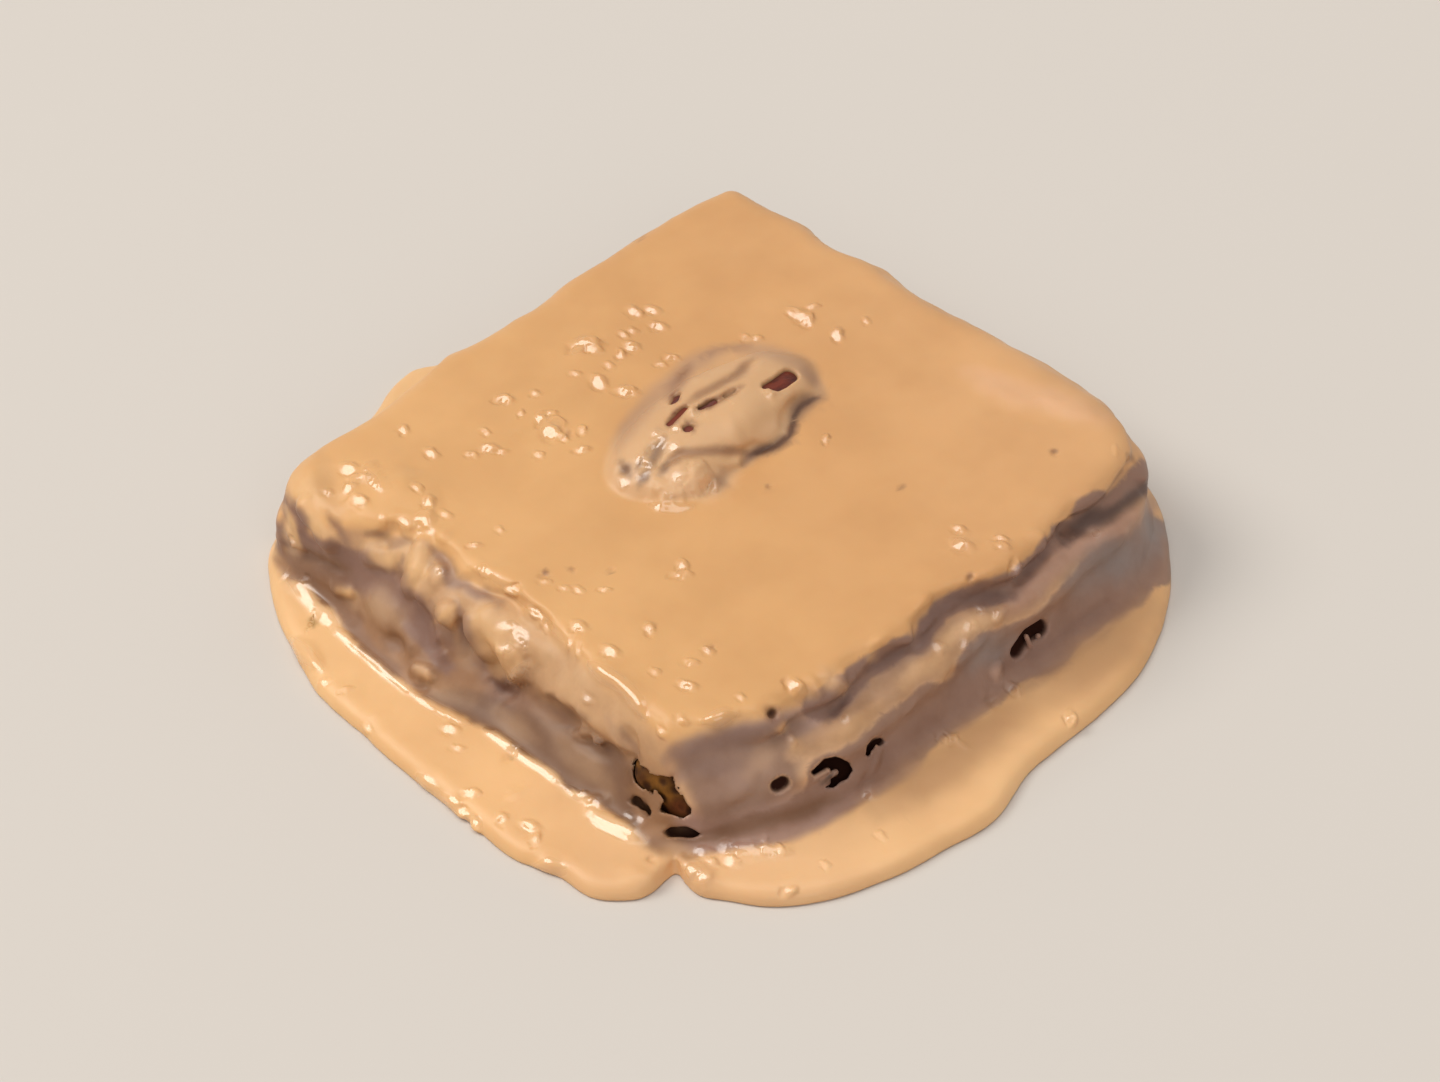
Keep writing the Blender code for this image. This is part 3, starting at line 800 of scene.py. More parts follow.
# Small risings that catch the light: the place of the glint and the rising's radius
GLINTS = (
    # the far part of the top
    (584, 345, 0.62), (575, 350, 0.45), (593, 350, 0.45), (575, 374, 0.42),
    (598, 383, 0.55), (620, 355, 0.45), (623, 335, 0.42), (631, 347, 0.5),
    (632, 331, 0.42), (634, 313, 0.5), (651, 311, 0.48), (657, 327, 0.5),
    (660, 365, 0.42), (671, 358, 0.45), (626, 392, 0.55), (608, 366, 0.42),
    (745, 339, 0.42), (754, 339, 0.42), (792, 313, 0.45), (800, 318, 0.5),
    (808, 321, 0.5), (811, 307, 0.42), (837, 336, 0.5), (866, 322, 0.4),
    # the middle
    (541, 420, 0.5), (550, 431, 0.6), (557, 423, 0.5), (549, 414, 0.42),
    (563, 438, 0.42), (581, 450, 0.45), (582, 431, 0.42), (538, 455, 0.42),
    (535, 394, 0.42), (503, 400, 0.5), (487, 449, 0.48), (485, 433, 0.42),
    (431, 454, 0.48), (403, 431, 0.45), (626, 483, 0.45), (712, 487, 0.4),
    (825, 440, 0.4), (470, 455, 0.42), (500, 452, 0.42), (520, 414, 0.4),
    # the raised patch
    (349, 470, 0.55), (357, 479, 0.5), (348, 489, 0.5), (359, 500, 0.5),
    (362, 504, 0.42), (416, 488, 0.42), (428, 503, 0.5), (444, 515, 0.42),
    (404, 522, 0.5), (423, 520, 0.6), (420, 532, 0.42), (431, 531, 0.45),
    (327, 493, 0.42), (381, 517, 0.42), (473, 546, 0.42), (500, 530, 0.38),
    # along the crisp edge
    (482, 567, 0.42), (513, 590, 0.45), (537, 613, 0.42), (546, 626, 0.40),
    (570, 643, 0.42), (578, 651, 0.40),
    # the front part of the top
    (578, 627, 0.48), (610, 652, 0.50), (649, 630, 0.45), (587, 699, 0.45),
    (686, 686, 0.50), (689, 663, 0.42), (655, 672, 0.40), (661, 732, 0.42),
    (681, 719, 0.42), (707, 651, 0.42), (564, 588, 0.4), (578, 590, 0.42),
    (604, 590, 0.4), (544, 582, 0.38), (680, 575, 0.48), (682, 567, 0.48),
    (740, 698, 0.4),
    # beside the +X edge
    (958, 530, 0.45), (960, 545, 0.55), (1000, 539, 0.42), (1001, 546, 0.42),
    (1015, 569, 0.45), (794, 686, 0.5), (791, 739, 0.42),
)
GLINTS_FACES = (
    # on the rolls of the two seen faces
    (845, 719, 0.42), (968, 627, 0.5), (980, 611, 0.42), (996, 614, 0.48),
    (937, 647, 0.4), (963, 644, 0.4), (1096, 533, 0.42), (598, 740, 0.35),
    (629, 815, 0.42), (641, 819, 0.35), (867, 795, 0.38), (440, 572, 0.4),
)
GLINTS_POOL = (
    (324, 683, 0.45), (368, 728, 0.42), (449, 730, 0.5), (457, 748, 0.42),
    (469, 793, 0.48), (475, 825, 0.42), (501, 819, 0.45), (528, 827, 0.52),
    (536, 840, 0.42), (583, 795, 0.4), (461, 812, 0.45), (699, 852, 0.5),
    (722, 846, 0.42), (763, 843, 0.42), (709, 862, 0.42), (729, 862, 0.48),
    (702, 877, 0.50), (690, 870, 0.42), (835, 775, 0.3), (942, 739, 0.4),
    (953, 739, 0.42), (1013, 690, 0.45), (1070, 719, 0.45), (788, 891, 0.42),
    (344, 690, 0.35), (306, 578, 0.4), (293, 542, 0.4), (286, 576, 0.45),
    (778, 850, 0.42), (825, 866, 0.35), (880, 836, 0.3),
)

# Longer lines of light: (path, radius)
STREAKS = (
    (((478, 568), (488, 572)), 0.5),
    (((533, 610), (540, 617)), 0.5),
    (((592, 803), (595, 808)), 0.6),
    (((720, 850), (734, 849), (746, 850)), 0.6),
    (((762, 851), (780, 852)), 0.5),
    (((688, 868), (702, 879)), 0.7),
    (((503, 628), (512, 628), (521, 636), (524, 648)), 0.55),
    (((527, 662), (519, 672), (510, 680)), 0.55),
    (((502, 648), (514, 647)), 0.5),
    (((366, 470), (372, 480), (380, 490)), 0.5),
)
# (path, radius, height)
RIDGES = (
    (((590, 664), (606, 676), (619, 683), (630, 692), (638, 703), (646, 717)), 0.66, 0.54),
    (((703, 722), (718, 720), (735, 715)), 0.6, 0.48),
    (((290, 580), (301, 589), (313, 601), (325, 613), (335, 624)), 0.8, 0.62),
    (((334, 626), (344, 636), (356, 647), (372, 660), (391, 676), (413, 694)), 0.44, 0.34),
    (((413, 694), (440, 710), (470, 724)), 0.5, 0.16),
    (((484, 729), (497, 737), (511, 747), (528, 759), (543, 770), (562, 784)), 0.44, 0.33),
    (((562, 784), (575, 793), (590, 802)), 0.5, 0.16),
    (((591, 813), (607, 820), (625, 829), (646, 840)), 0.78, 0.60),
    (((292, 640), (306, 655), (322, 669)), 0.7, 0.42),
    (((418, 775), (436, 790)), 0.6, 0.32),
    (((444, 796), (464, 812)), 0.6, 0.36),
    (((471, 817), (481, 825)), 0.5, 0.32),
    (((534, 868), (549, 865), (564, 866)), 0.75, 0.42),
    (((650, 505), (670, 508), (692, 507)), 0.5, 0.34),
)

# Broken bubbles and holes: cut right out of the coat (path, radius, unused)
PITS = [
    (((778, 787), (783, 784)), 0.80, 0),
    (((1018, 652), (1024, 642)), 0.85, 0),
    (((1029, 635), (1041, 629)), 1.02, 0),
    (((1024, 642), (1032, 634)), 0.5, 0),
    (((773, 713),), 0.62, 0),
]
PIT_BLOBS = [
    (((812, 783), (829, 773)), 0.36, 0.40),
    (((815, 786), (837, 774)), 0.36, 0.40),
    (((818, 787), (829, 783)), 0.36, 0.40),
    (((1030, 646), (1026, 636)), 0.26, 0),
    (((1038, 636),), 0.30, 0),
]
WINDOWS = (
    # where the bare crumb starts, under the roll
    (
        (641, 778),
        (
            (
                (632, 770), (639, 768), (648, 770), (656, 777), (653, 787), (643, 788), (634, 781),
            ),
        ),
        1.7,
    ),
    # the small dark pit beside the bare crumb
    (
        (641, 804),
        (
            (
                (629, 800), (635, 795), (641, 797), (646, 803), (652, 812), (650, 817), (645, 812),
                (639, 806), (633, 803),
            ),
        ),
        1.6,
    ),
    # the broken bubbles beside it
    (
        (876, 746),
        (
            (
                (865, 756), (867, 746), (873, 739), (881, 737), (888, 743), (882, 745),
                (875, 746), (871, 752), (869, 758),
            ),
        ),
        1.3,
    ),
    # the split round the corner
    (
        (682, 833),
        (
            (
                (663, 832), (670, 827), (684, 827), (696, 830), (702, 834), (694, 838),
                (680, 838), (667, 837),
            ),
        ),
        1.2,
    ),
    (
        (832, 770),
        (
            (
                (811, 773), (816, 765), (824, 759), (836, 757), (847, 761), (852, 770),
                (848, 779), (840, 783), (834, 789), (826, 788), (817, 781),
            ),
        ),
        2.6,
    ),
)
PATCH = (
    (
        (646, 772), (652, 774), (659, 777), (672, 776), (675, 787), (682, 795), (686, 804),
        (691, 809), (690, 815), (682, 818), (673, 815), (661, 812), (662, 806), (664, 799),
        (658, 791), (651, 787), (645, 781),
    ),
)


# Where the crumb comes up to the opening: (path, radius, how far sunk)
CRUMB_BULGE = sunk(
    [
        (((634, 774), (644, 780)), 2.4, 2.70),
        (((642, 781), (668, 792)), 3.0, 3.26),
        (((668, 792), (682, 812)), 2.7, 2.98),
        (((672, 781), (686, 812)), 2.2, 2.52),
        (((666, 806), (680, 813)), 2.0, 2.34),
    ]
)
CRUMB_GAP = 0.07


EARLY = expand(FACE_Y_STROKES + TOP_STROKES + FACE_X_STROKES + POOL_STROKES)
RIDGE_LINES = expand(RIDGES)
SUNK_LUMPS = sunk(LUMPS)

# ---------------------------------------------------------------- colours of the coat
def rgb(r, g, b):
    """A colour given as it shows on screen, 0 to 255."""
    return tuple(
        (c / 255.0 / 12.92) if c / 255.0 <= 0.04045 else ((c / 255.0 + 0.055) / 1.055) ** 2.4
        for c in (r, g, b)
    ) + (1.0,)


TOP_STOPS = (
    (-32.0, rgb(226, 174, 116)),
    (-12.0, rgb(219, 167, 110)),
    (12.0, rgb(214, 161, 106)),
    (40.0, rgb(218, 167, 115)),
)
# by bearing from the middle, in degrees
POOL_STOPS = (
    (-180.0, rgb(236, 190, 136)),
    (-120.0, rgb(238, 190, 134)),
    (-70.0, rgb(234, 184, 128)),
    (-40.0, rgb(230, 182, 132)),
    (-10.0, rgb(238, 190, 136)),
    (30.0, rgb(226, 176, 122)),
    (120.0, rgb(226, 176, 124)),
    (180.0, rgb(236, 190, 136)),
)
# by height, for the walls that are not seen: darker lower down, painted shade
WALL_STOPS = (
    (3.0, rgb(172, 128, 98)),
    (6.0, rgb(176, 136, 112)),
    (9.5, rgb(190, 148, 118)),
    (12.0, rgb(206, 160, 120)),
)
# The +X face by height: the tan band is painted light on the roll; the mauve bands above and below it are
# painted shade under the edge and towards the foot.
FACE_X_STOPS = (
    (2.4, rgb(166, 128, 104)),
    (3.6, rgb(172, 136, 120)),
    (5.2, rgb(180, 146, 132)),
    (6.2, rgb(198, 160, 136)),
    (7.4, rgb(222, 178, 138)),
    (8.8, rgb(222, 178, 138)),
    (9.8, rgb(196, 160, 138)),
    (10.8, rgb(178, 146, 132)),
    (12.2, rgb(188, 156, 142)),
    (13.2, rgb(212, 168, 128)),
)
# The -Y face by height: darker towards the foot, painted shade.
FACE_Y_STOPS = (
    (2.4, rgb(170, 128, 94)),
    (3.4, rgb(160, 118, 84)),
    (6.5, rgb(160, 120, 88)),
    (8.2, rgb(182, 141, 106)),
    (10.0, rgb(202, 158, 116)),
    (12.0, rgb(214, 170, 124)),
    (13.4, rgb(218, 172, 124)),
)
NUT_FILM = rgb(214, 171, 127)
# Areas of painted light and shade on the two seen faces: (corners in the camera's frame, softness,
# amount)
UNDER_EDGE = (
    (1140, 458), (1116, 484), (1079, 503), (1071, 518), (1052, 525), (1046, 539),
    (1025, 556), (1014, 571), (978, 582), (956, 590), (933, 602), (923, 618), (912, 636),
    (882, 646), (857, 661), (842, 672), (824, 683), (808, 694), (800, 712), (825, 724),
    (835, 714), (852, 698), (877, 678), (906, 661), (929, 651), (934, 635), (948, 618),
    (968, 608), (993, 603), (1017, 600), (1035, 579), (1049, 559), (1064, 545),
    (1081, 535), (1099, 522), (1126, 503), (1155, 488), (1152, 466),
)
LIGHT_ROLL = (
    (1158, 489), (1126, 504), (1099, 523), (1081, 536), (1064, 546), (1049, 560),
    (1035, 580), (1017, 601), (993, 604), (968, 609), (948, 619), (934, 636), (929, 652),
    (906, 662), (877, 679), (852, 699), (835, 715), (812, 728), (792, 736), (788, 752),
    (812, 757), (835, 747), (869, 727), (901, 702), (919, 688), (951, 672), (963, 656),
    (978, 635), (1003, 622), (1030, 612), (1049, 597), (1067, 580), (1079, 562),
    (1096, 544), (1116, 533), (1146, 514), (1165, 503),
)
UNDER_ROLL = (
    (1172, 520), (1146, 516), (1116, 535), (1096, 546), (1079, 564), (1067, 582),
    (1049, 599), (1030, 614), (1003, 624), (978, 637), (963, 658), (951, 674), (919, 690),
    (901, 704), (869, 729), (835, 749), (812, 759), (800, 790), (770, 806), (724, 822),
    (700, 826), (700, 840), (768, 826), (821, 810), (864, 793), (900, 772), (919, 760),
    (943, 737), (973, 720), (993, 708), (1002, 707), (1010, 690), (1030, 678), (1054, 670),
    (1076, 651), (1104, 623), (1118, 611), (1143, 608), (1150, 594), (1176, 574),
)
FRONT_FACE = (
    (672, 752), (706, 740), (740, 732), (770, 722), (800, 714), (812, 726), (790, 738),
    (786, 754), (800, 760), (798, 788), (768, 804), (724, 820), (702, 822), (692, 800),
    (684, 778),
)
LEFT_FOLDS = (
    (286, 494), (296, 514), (306, 530), (320, 541), (330, 538), (346, 546), (362, 550),
    (374, 562), (392, 573), (402, 588), (420, 600), (434, 614), (442, 642), (456, 664),
    (448, 676), (426, 652), (406, 628), (386, 604), (360, 592), (330, 576), (314, 566),
    (300, 557), (286, 546), (276, 530), (281, 512),
)
LEFT_FOOT = (
    (276, 544), (296, 557), (330, 565), (346, 580), (354, 602), (372, 640), (404, 670),
    (398, 688), (366, 654), (334, 614), (298, 580), (276, 554),
)
LOW_FACE = (
    (462, 688), (486, 694), (512, 704), (530, 712), (560, 722), (590, 728), (615, 750),
    (636, 770), (634, 800), (640, 836), (612, 812), (588, 796), (556, 780), (520, 752),
    (484, 724), (440, 704), (420, 694),
)
# painted shade under the edge, under the roll, on the front face, in the left folds and towards the foot;
# LIGHT_ROLL is painted light on the roll
LIT_AND_SHADED_AREAS = (
    (rgb(146, 113, 98), [(UNDER_EDGE, 2.2, 0.95)]),
    (rgb(190, 147, 108), [(LIGHT_ROLL, 4.0, 0.8)]),
    (rgb(154, 120, 102), [(UNDER_ROLL, 2.2, 0.92)]),
    (rgb(150, 116, 96), [(FRONT_FACE, 9.0, 0.9)]),
    (rgb(144, 109, 92), [(LEFT_FOLDS, 4.0, 0.9)]),
    (rgb(142, 104, 78), [(LEFT_FOOT, 4.0, 0.85)]),
    (rgb(124, 89, 64), [(LOW_FACE, 4.0, 0.92)]),
)

MAUVE, PALE_MAUVE = rgb(164, 130, 122), rgb(196, 160, 148)
TAN, PALE_TAN = rgb(214, 168, 122), rgb(232, 188, 142)
BROWN, DARK_BROWN = rgb(142, 102, 74), rgb(96, 58, 40)
GREY, PINKISH = rgb(164, 146, 142), rgb(226, 178, 142)
PAINT = (
    # -- the left corner and the -Y face
    # painted shade in the folds and grooves
    (
        rgb(138, 104, 90),
        [
            (((289, 500), (300, 522), (318, 542)), 0.75, 0.85),
            (((330, 514), (340, 534), (350, 548)), 0.6, 0.5),
            (((334, 546), (350, 562), (366, 578)), 1.4, 0.7),
            (((430, 546), (446, 560), (453, 579), (478, 594), (500, 602)), 0.8, 0.75),
            (((400, 566), (405, 584), (402, 602)), 0.9, 0.7),
            (((418, 600), (424, 622), (434, 644), (450, 664)), 1.2, 0.7),
            (((484, 676), (500, 692), (524, 704)), 1.2, 0.7),
            (((462, 606), (466, 624), (468, 644), (476, 662), (488, 674)), 0.7, 0.75),
            (((432, 604), (444, 632), (460, 650)), 0.8, 0.6),
            (((360, 566), (380, 572), (398, 578), (412, 594)), 0.8, 0.7),
            (((404, 556), (406, 570)), 0.45, 0.6),
            (((430, 556), (434, 572)), 0.4, 0.5),
        ],
    ),
    # painted shade in the grooves and hollows
    (
        rgb(134, 98, 74),
        [
            (((279, 543), (295, 555), (322, 560), (346, 574)), 0.7, 0.8),
            (((300, 576), (320, 592), (340, 616), (366, 648)), 0.8, 0.5),
            (((368, 536), (390, 540), (412, 541)), 0.6, 0.55),
            (((386, 638), (398, 645), (410, 649)), 0.8, 0.6),
            (((520, 704), (545, 713), (575, 722)), 0.8, 0.6),
            (((580, 744), (606, 750), (632, 766)), 0.7, 0.6),
            (((416, 686), (434, 690)), 0.5, 0.7),
            (((618, 776), (626, 790)), 0.8, 0.3),
        ],
    ),
    (rgb(164, 124, 66), [(((310, 621), (314, 622)), 0.62, 0.95)]),
    (rgb(160, 120, 72), [(((508, 752), (514, 756)), 0.45, 0.7)]),
    (rgb(150, 112, 80), [(((630, 790), (646, 796), (658, 806)), 0.7, 0.8)]),
    # painted shade in the hollow under the split round the corner
    (rgb(120, 84, 58), [(((662, 838), (682, 841), (704, 838)), 0.7, 0.9)]),
    # painted light on the lumps and raised patches
    (
        rgb(188, 150, 114),
        [
            (((356, 600), (380, 606), (398, 618)), 1.6, 0.7),
            (((462, 640), (468, 656), (474, 668)), 1.0, 0.5),
            (((376, 560), (388, 556)), 1.5, 0.7),
            (((420, 676), (440, 690), (470, 700)), 1.2, 0.5),
            (((500, 716), (530, 736)), 1.3, 0.45),
            (((560, 742), (590, 768), (610, 790)), 1.5, 0.5),
        ],
    ),
    # painted light on the lumps and ridges that face the light
    (
        rgb(232, 186, 132),
        [
            (((424, 552), (420, 568), (414, 582)), 1.25, 0.95),
            (((446, 612), (452, 620)), 1.5, 0.9),
            (((486, 620), (500, 640), (510, 664)), 2.5, 0.95),
            (((378, 556), (396, 556)), 1.2, 0.75),
            (((284, 510), (288, 528), (296, 546)), 0.7, 0.9),
            (((307, 512), (318, 526), (326, 534)), 0.65, 0.8),
            (((296, 478), (318, 500)), 2.0, 0.8),
            (((340, 589), (356, 592)), 0.75, 0.8),
        ],
    ),
    (
        rgb(206, 163, 120),
        [
            (((530, 640), (560, 672), (590, 696), (616, 714)), 2.2, 0.85),
            (((528, 668), (560, 700), (600, 716), (630, 740)), 1.2, 0.6),
        ],
    ),
    (
        rgb(188, 146, 106),
        [(((626, 732), (644, 744), (660, 756)), 1.4, 0.75)],
    ),
    # painted light on the tops of lumps
    (
        PALE_TAN,
        [
            (((440, 568), (438, 577)), 0.7, 0.8),
            (((498, 632), (512, 646)), 1.3, 0.7),
            (((418, 671), (430, 673)), 0.75, 0.8),
            (((286, 548), (300, 552)), 0.5, 0.3),
        ],
    ),
    # painted shade in the hollow and groove under the roll
    (
        rgb(128, 94, 74),
        [
            (((536, 698), (560, 711), (586, 719)), 0.8, 0.75),
            (((622, 730), (633, 748), (639, 764)), 0.5, 0.55),
        ],
    ),
    # painted light on the ridges and the lump beside that hollow
    (
        rgb(186, 148, 116),
        [
            (((572, 732), (588, 735), (604, 738)), 0.7, 0.7),
            (((606, 718), (618, 738), (629, 758)), 0.6, 0.55),
            (((540, 706), (556, 730), (576, 744)), 1.0, 0.25),
        ],
    ),
    # painted shade in the slit under the big lump
    (rgb(96, 58, 38), [(((490, 680), (502, 688), (515, 697)), 0.65, 0.95)]),
    # -- the front corner
    # painted shade under the edge at the front corner
    (
        rgb(142, 110, 96),
        [
            (((668, 756), (700, 743), (736, 736), (764, 726)), 1.2, 0.85),
            (((690, 762), (716, 768), (736, 764)), 1.0, 0.6),
        ],
    ),
    (rgb(172, 138, 120), [(((700, 796), (724, 788), (744, 780), (760, 764)), 1.4, 0.7)]),
    (rgb(186, 148, 118), [(((748, 772), (764, 752), (778, 744)), 1.1, 0.7)]),
    # painted shade at the foot and under the split
    (
        rgb(134, 96, 70),
        [
            (((700, 836), (740, 828), (790, 816), (836, 800)), 1.2, 0.85),
            (((640, 838), (660, 846), (680, 852), (700, 846)), 0.8, 0.6),
        ],
    ),
    # -- the +X face
    # painted light on the lobes and the roll of the +X face
    (
        TAN,
        [
            (((824, 674), (840, 686)), 1.1, 0.85),
            (((806, 688), (818, 692)), 0.9, 0.8),
            (((822, 742), (853, 724), (880, 706)), 1.1, 0.7),
            (((905, 684), (928, 664), (952, 642)), 1.3, 0.8),
            (((781, 727),), 0.6, 0.8),
            (((791, 739), (800, 746)), 0.8, 0.8),
            (((868, 656), (876, 660)), 0.7, 0.6),
        ],
    ),
    # painted light on the brightest part of the roll
    (
        PALE_TAN,
        [
            (((940, 644), (966, 627), (994, 615)), 1.0, 0.85),
            (((904, 678), (922, 668)), 0.8, 0.4),
        ],
    ),
    # painted light along the back part of the roll
    (
        rgb(190, 150, 128),
        [
            (((1006, 608), (1034, 588), (1062, 556), (1096, 536), (1150, 508)), 1.3, 0.9),
        ],
    ),
    # painted light on a lump below the roll
    (rgb(196, 160, 140), [(((996, 662), (997, 678)), 0.6, 0.9)]),
    # painted shade in the groove under the edge
    (
        rgb(122, 94, 86),
        [
            (((846, 690), (838, 706), (828, 722)), 0.5, 0.7),
            (((866, 672), (890, 658), (908, 648)), 0.7, 0.6),
            (((916, 650), (924, 632), (934, 614), (952, 601), (972, 594), (1010, 594)), 0.9, 0.7),
            (((1020, 580), (1036, 562), (1050, 548)), 0.7, 0.6),
            (((1000, 664), (1060, 642), (1110, 602)), 1.0, 0.3),
        ],
    ),
    # painted shade, darkest along the groove under the edge
    (
        rgb(96, 74, 66),
        [
            (((1064, 540), (1075, 528), (1090, 520), (1109, 514), (1134, 497), (1152, 484)), 0.8, 0.9),
            (((1060, 536), (1066, 544)), 0.5, 0.7),
        ],
    ),
    # painted cool shade on the far end of the +X face
    (
        rgb(150, 134, 128),
        [
            (((1080, 580), (1100, 564), (1150, 546)), 2.6, 0.95),
            (((1140, 534), (1164, 528)), 2.0, 0.95),
            (((970, 664), (986, 652), (1010, 638)), 1.5, 0.8),
        ],
    ),
    # painted shade towards the foot of the +X face
    (
        rgb(140, 104, 86),
        [
            (((850, 798), (880, 780), (912, 758)), 1.1, 0.6),
            (((1010, 694), (1050, 670), (1090, 640), (1130, 604)), 0.9, 0.5),
            (((870, 768), (896, 748), (930, 720)), 1.2, 0.4),
        ],
    ),
    (rgb(104, 70, 62), [(((773, 713),), 0.6, 0.95)]),
    (rgb(78, 59, 49), [(((822, 780), (836, 776)), 0.75, 0.95)]),
    (rgb(132, 88, 70), [(((770, 709), (776, 718)), 0.9, 0.6)]),
    # painted shadow of the block on the pool beside the +X foot
    (
        rgb(196, 150, 106),
        [
            (((880, 806), (925, 780), (960, 754), (1000, 726), (1040, 698)), 2.4, 0.85),
            (((1040, 700), (1080, 676), (1120, 644), (1150, 612)), 2.6, 0.8),
        ],
    ),
    (
        rgb(238, 194, 144),
        [
            (((290, 582), (301, 592), (313, 604), (325, 616), (335, 627)), 0.75, 0.95),
            (((334, 628), (344, 638), (356, 649), (372, 662), (391, 678), (413, 696)), 0.5, 0.9),
            (((486, 732), (497, 739), (511, 749), (528, 761), (543, 772), (562, 786)), 0.5, 0.9),
            (((562, 786), (575, 795), (590, 804)), 0.5, 0.9),
            (((590, 814), (607, 822), (625, 831), (644, 841)), 0.8, 0.95),
        ],
    ),
    # -- the top
    (PINKISH, [(((968, 372), (1010, 388), (1060, 402), (1104, 420)), 1.4, 0.45)]),
    (
        rgb(150, 108, 76),
        [
            (((546, 575),), 0.36, 0.9),
            (((1055, 451),), 0.36, 0.9),
            (((901, 488),), 0.28, 0.6),
            (((768, 487),), 0.32, 0.5),
            (((971, 578),), 0.4, 0.8),
            (((571, 573),), 0.3, 0.5),
            (((612, 571),), 0.3, 0.5),
            (((712, 650),), 0.35, 0.4),
            (((568, 433),), 0.4, 0.5),
            (((645, 238),), 0.35, 0.5),
            (((1128, 456), (1133, 464)), 0.35, 0.6),
        ],
    ),
    # painted shade in the soft valley behind the left corner
    (rgb(198, 152, 104), [(((320, 462), (324, 486), (336, 506)), 1.4, 0.6)]),
)
NUT_OUTLINE = (
    (607, 470), (612, 440), (630, 414), (658, 388), (692, 360), (722, 346), (757, 345),
    (785, 353), (815, 371), (827, 393), (804, 405), (797, 418), (790, 439), (776, 451),
    (756, 453), (746, 466), (730, 482), (705, 496), (670, 502), (635, 497), (615, 486),
)
NUT_PAINT = (
    # painted light on the near lobe and the flap
    (
        rgb(236, 194, 150),
        [
            (((680, 490), (706, 486), (728, 478)), 1.6, 0.85),
            (((752, 444), (780, 428), (790, 408)), 1.2, 0.6),
        ],
    ),
    # the soft shaded flank of the far side
    (
        rgb(178, 140, 112),
        [
            (((618, 448), (628, 426), (656, 394), (690, 366), (722, 352)), 1.0, 0.6),
            (((740, 350), (770, 352), (800, 364), (818, 384)), 0.9, 0.6),
        ],
    ),
    # painted shade along the far flank and the ends of the nut
    (
        rgb(150, 112, 92),
        [
            (((668, 398), (676, 384), (690, 368)), 0.8, 0.6),
            (((700, 360), (724, 348), (750, 346)), 0.45, 0.5),
            (((724, 474), (716, 486)), 1.1, 0.55),
            (((806, 372), (820, 386)), 0.8, 0.4),
        ],
    ),
    (
        rgb(150, 108, 78),
        [
            (((690, 402), (709, 389), (736, 374), (752, 361)), 0.55, 0.75),
            (((704, 408), (722, 398), (742, 386)), 0.5, 0.85),
            (((668, 466), (680, 454), (700, 452), (724, 451), (744, 451)), 0.55, 0.8),
            (((679, 380), (687, 369)), 0.45, 0.8),
        ],
    ),
    (
        rgb(112, 82, 66),
        [
            (((622, 462), (630, 474)), 0.7, 0.85),
            (((640, 484), (648, 470)), 0.6, 0.8),
            (((650, 466), (658, 450), (664, 438)), 0.7, 0.7),
            (((660, 474), (668, 464)), 0.5, 0.7),
            (((636, 470), (642, 458)), 0.35, 0.6),
        ],
    ),
    # painted shade in the crevice along the near side
    (
        rgb(132, 98, 78),
        [
            (((744, 464), (748, 455), (758, 450), (776, 448), (789, 436), (796, 414)), 0.55, 0.9),
            (((792, 424), (797, 410), (806, 401), (822, 395)), 0.95, 0.85),
        ],
    ),
    # painted shade, darkest in the crevice
    (
        rgb(88, 60, 48),
        [
            (((750, 453), (776, 448), (789, 437), (795, 416), (804, 403), (820, 396)), 0.3, 0.8),
        ],
    ),
    (
        rgb(110, 60, 40),
        [
            (((672, 401), (676, 394)), 0.65, 0.95),
            (((668, 424), (686, 407)), 0.5, 0.95),
            (((687, 428), (692, 424)), 0.7, 0.95),
            (((700, 410), (716, 401)), 0.5, 0.9),
        ],
    ),
)
# Where the sauce is wettest, and so most glossy
WET = (
    (((592, 664), (619, 682), (637, 700), (644, 716)), 0.9, 1.0),
    (((478, 566), (512, 590), (537, 613), (570, 643)), 0.6, 0.7),
    (((704, 720), (735, 714)), 0.9, 1.0),
    (((296, 588), (310, 601), (327, 618), (334, 632)), 0.9, 1.0),
    (((344, 641), (360, 654)), 0.6, 1.0),
    (((366, 659), (388, 675), (411, 692)), 0.6, 1.0),
    (((498, 740), (520, 755), (556, 781)), 0.5, 1.0),
    (((589, 818), (612, 828), (638, 841)), 1.0, 1.0),
    (((592, 803),), 0.9, 1.0),
    (((719, 849), (750, 848), (780, 851)), 0.8, 0.9),
    (((292, 640), (306, 654), (320, 667)), 0.7, 1.0),
    (((418, 782), (448, 806), (478, 829)), 0.9, 1.0),
    (((534, 876), (548, 873), (564, 873)), 0.9, 1.0),
    (((684, 866), (702, 880)), 0.8, 1.0),
    (((498, 626), (512, 625), (523, 634), (525, 650)), 0.7, 1.0),
    (((529, 660), (518, 672), (506, 683)), 0.6, 1.0),
    (((500, 648), (516, 647)), 0.5, 1.0),
    (((650, 505), (670, 507), (692, 507)), 0.6, 1.0),
    (((619, 480), (628, 487)), 0.5, 1.0),
    (((640, 478), (652, 458), (664, 436)), 1.2, 0.9),
)
# Places given the painted shade of the inside of a hole
PAINTED_PIT_SHADE = (
    (((634, 799), (642, 805), (648, 814)), 0.55, 0.9),
)

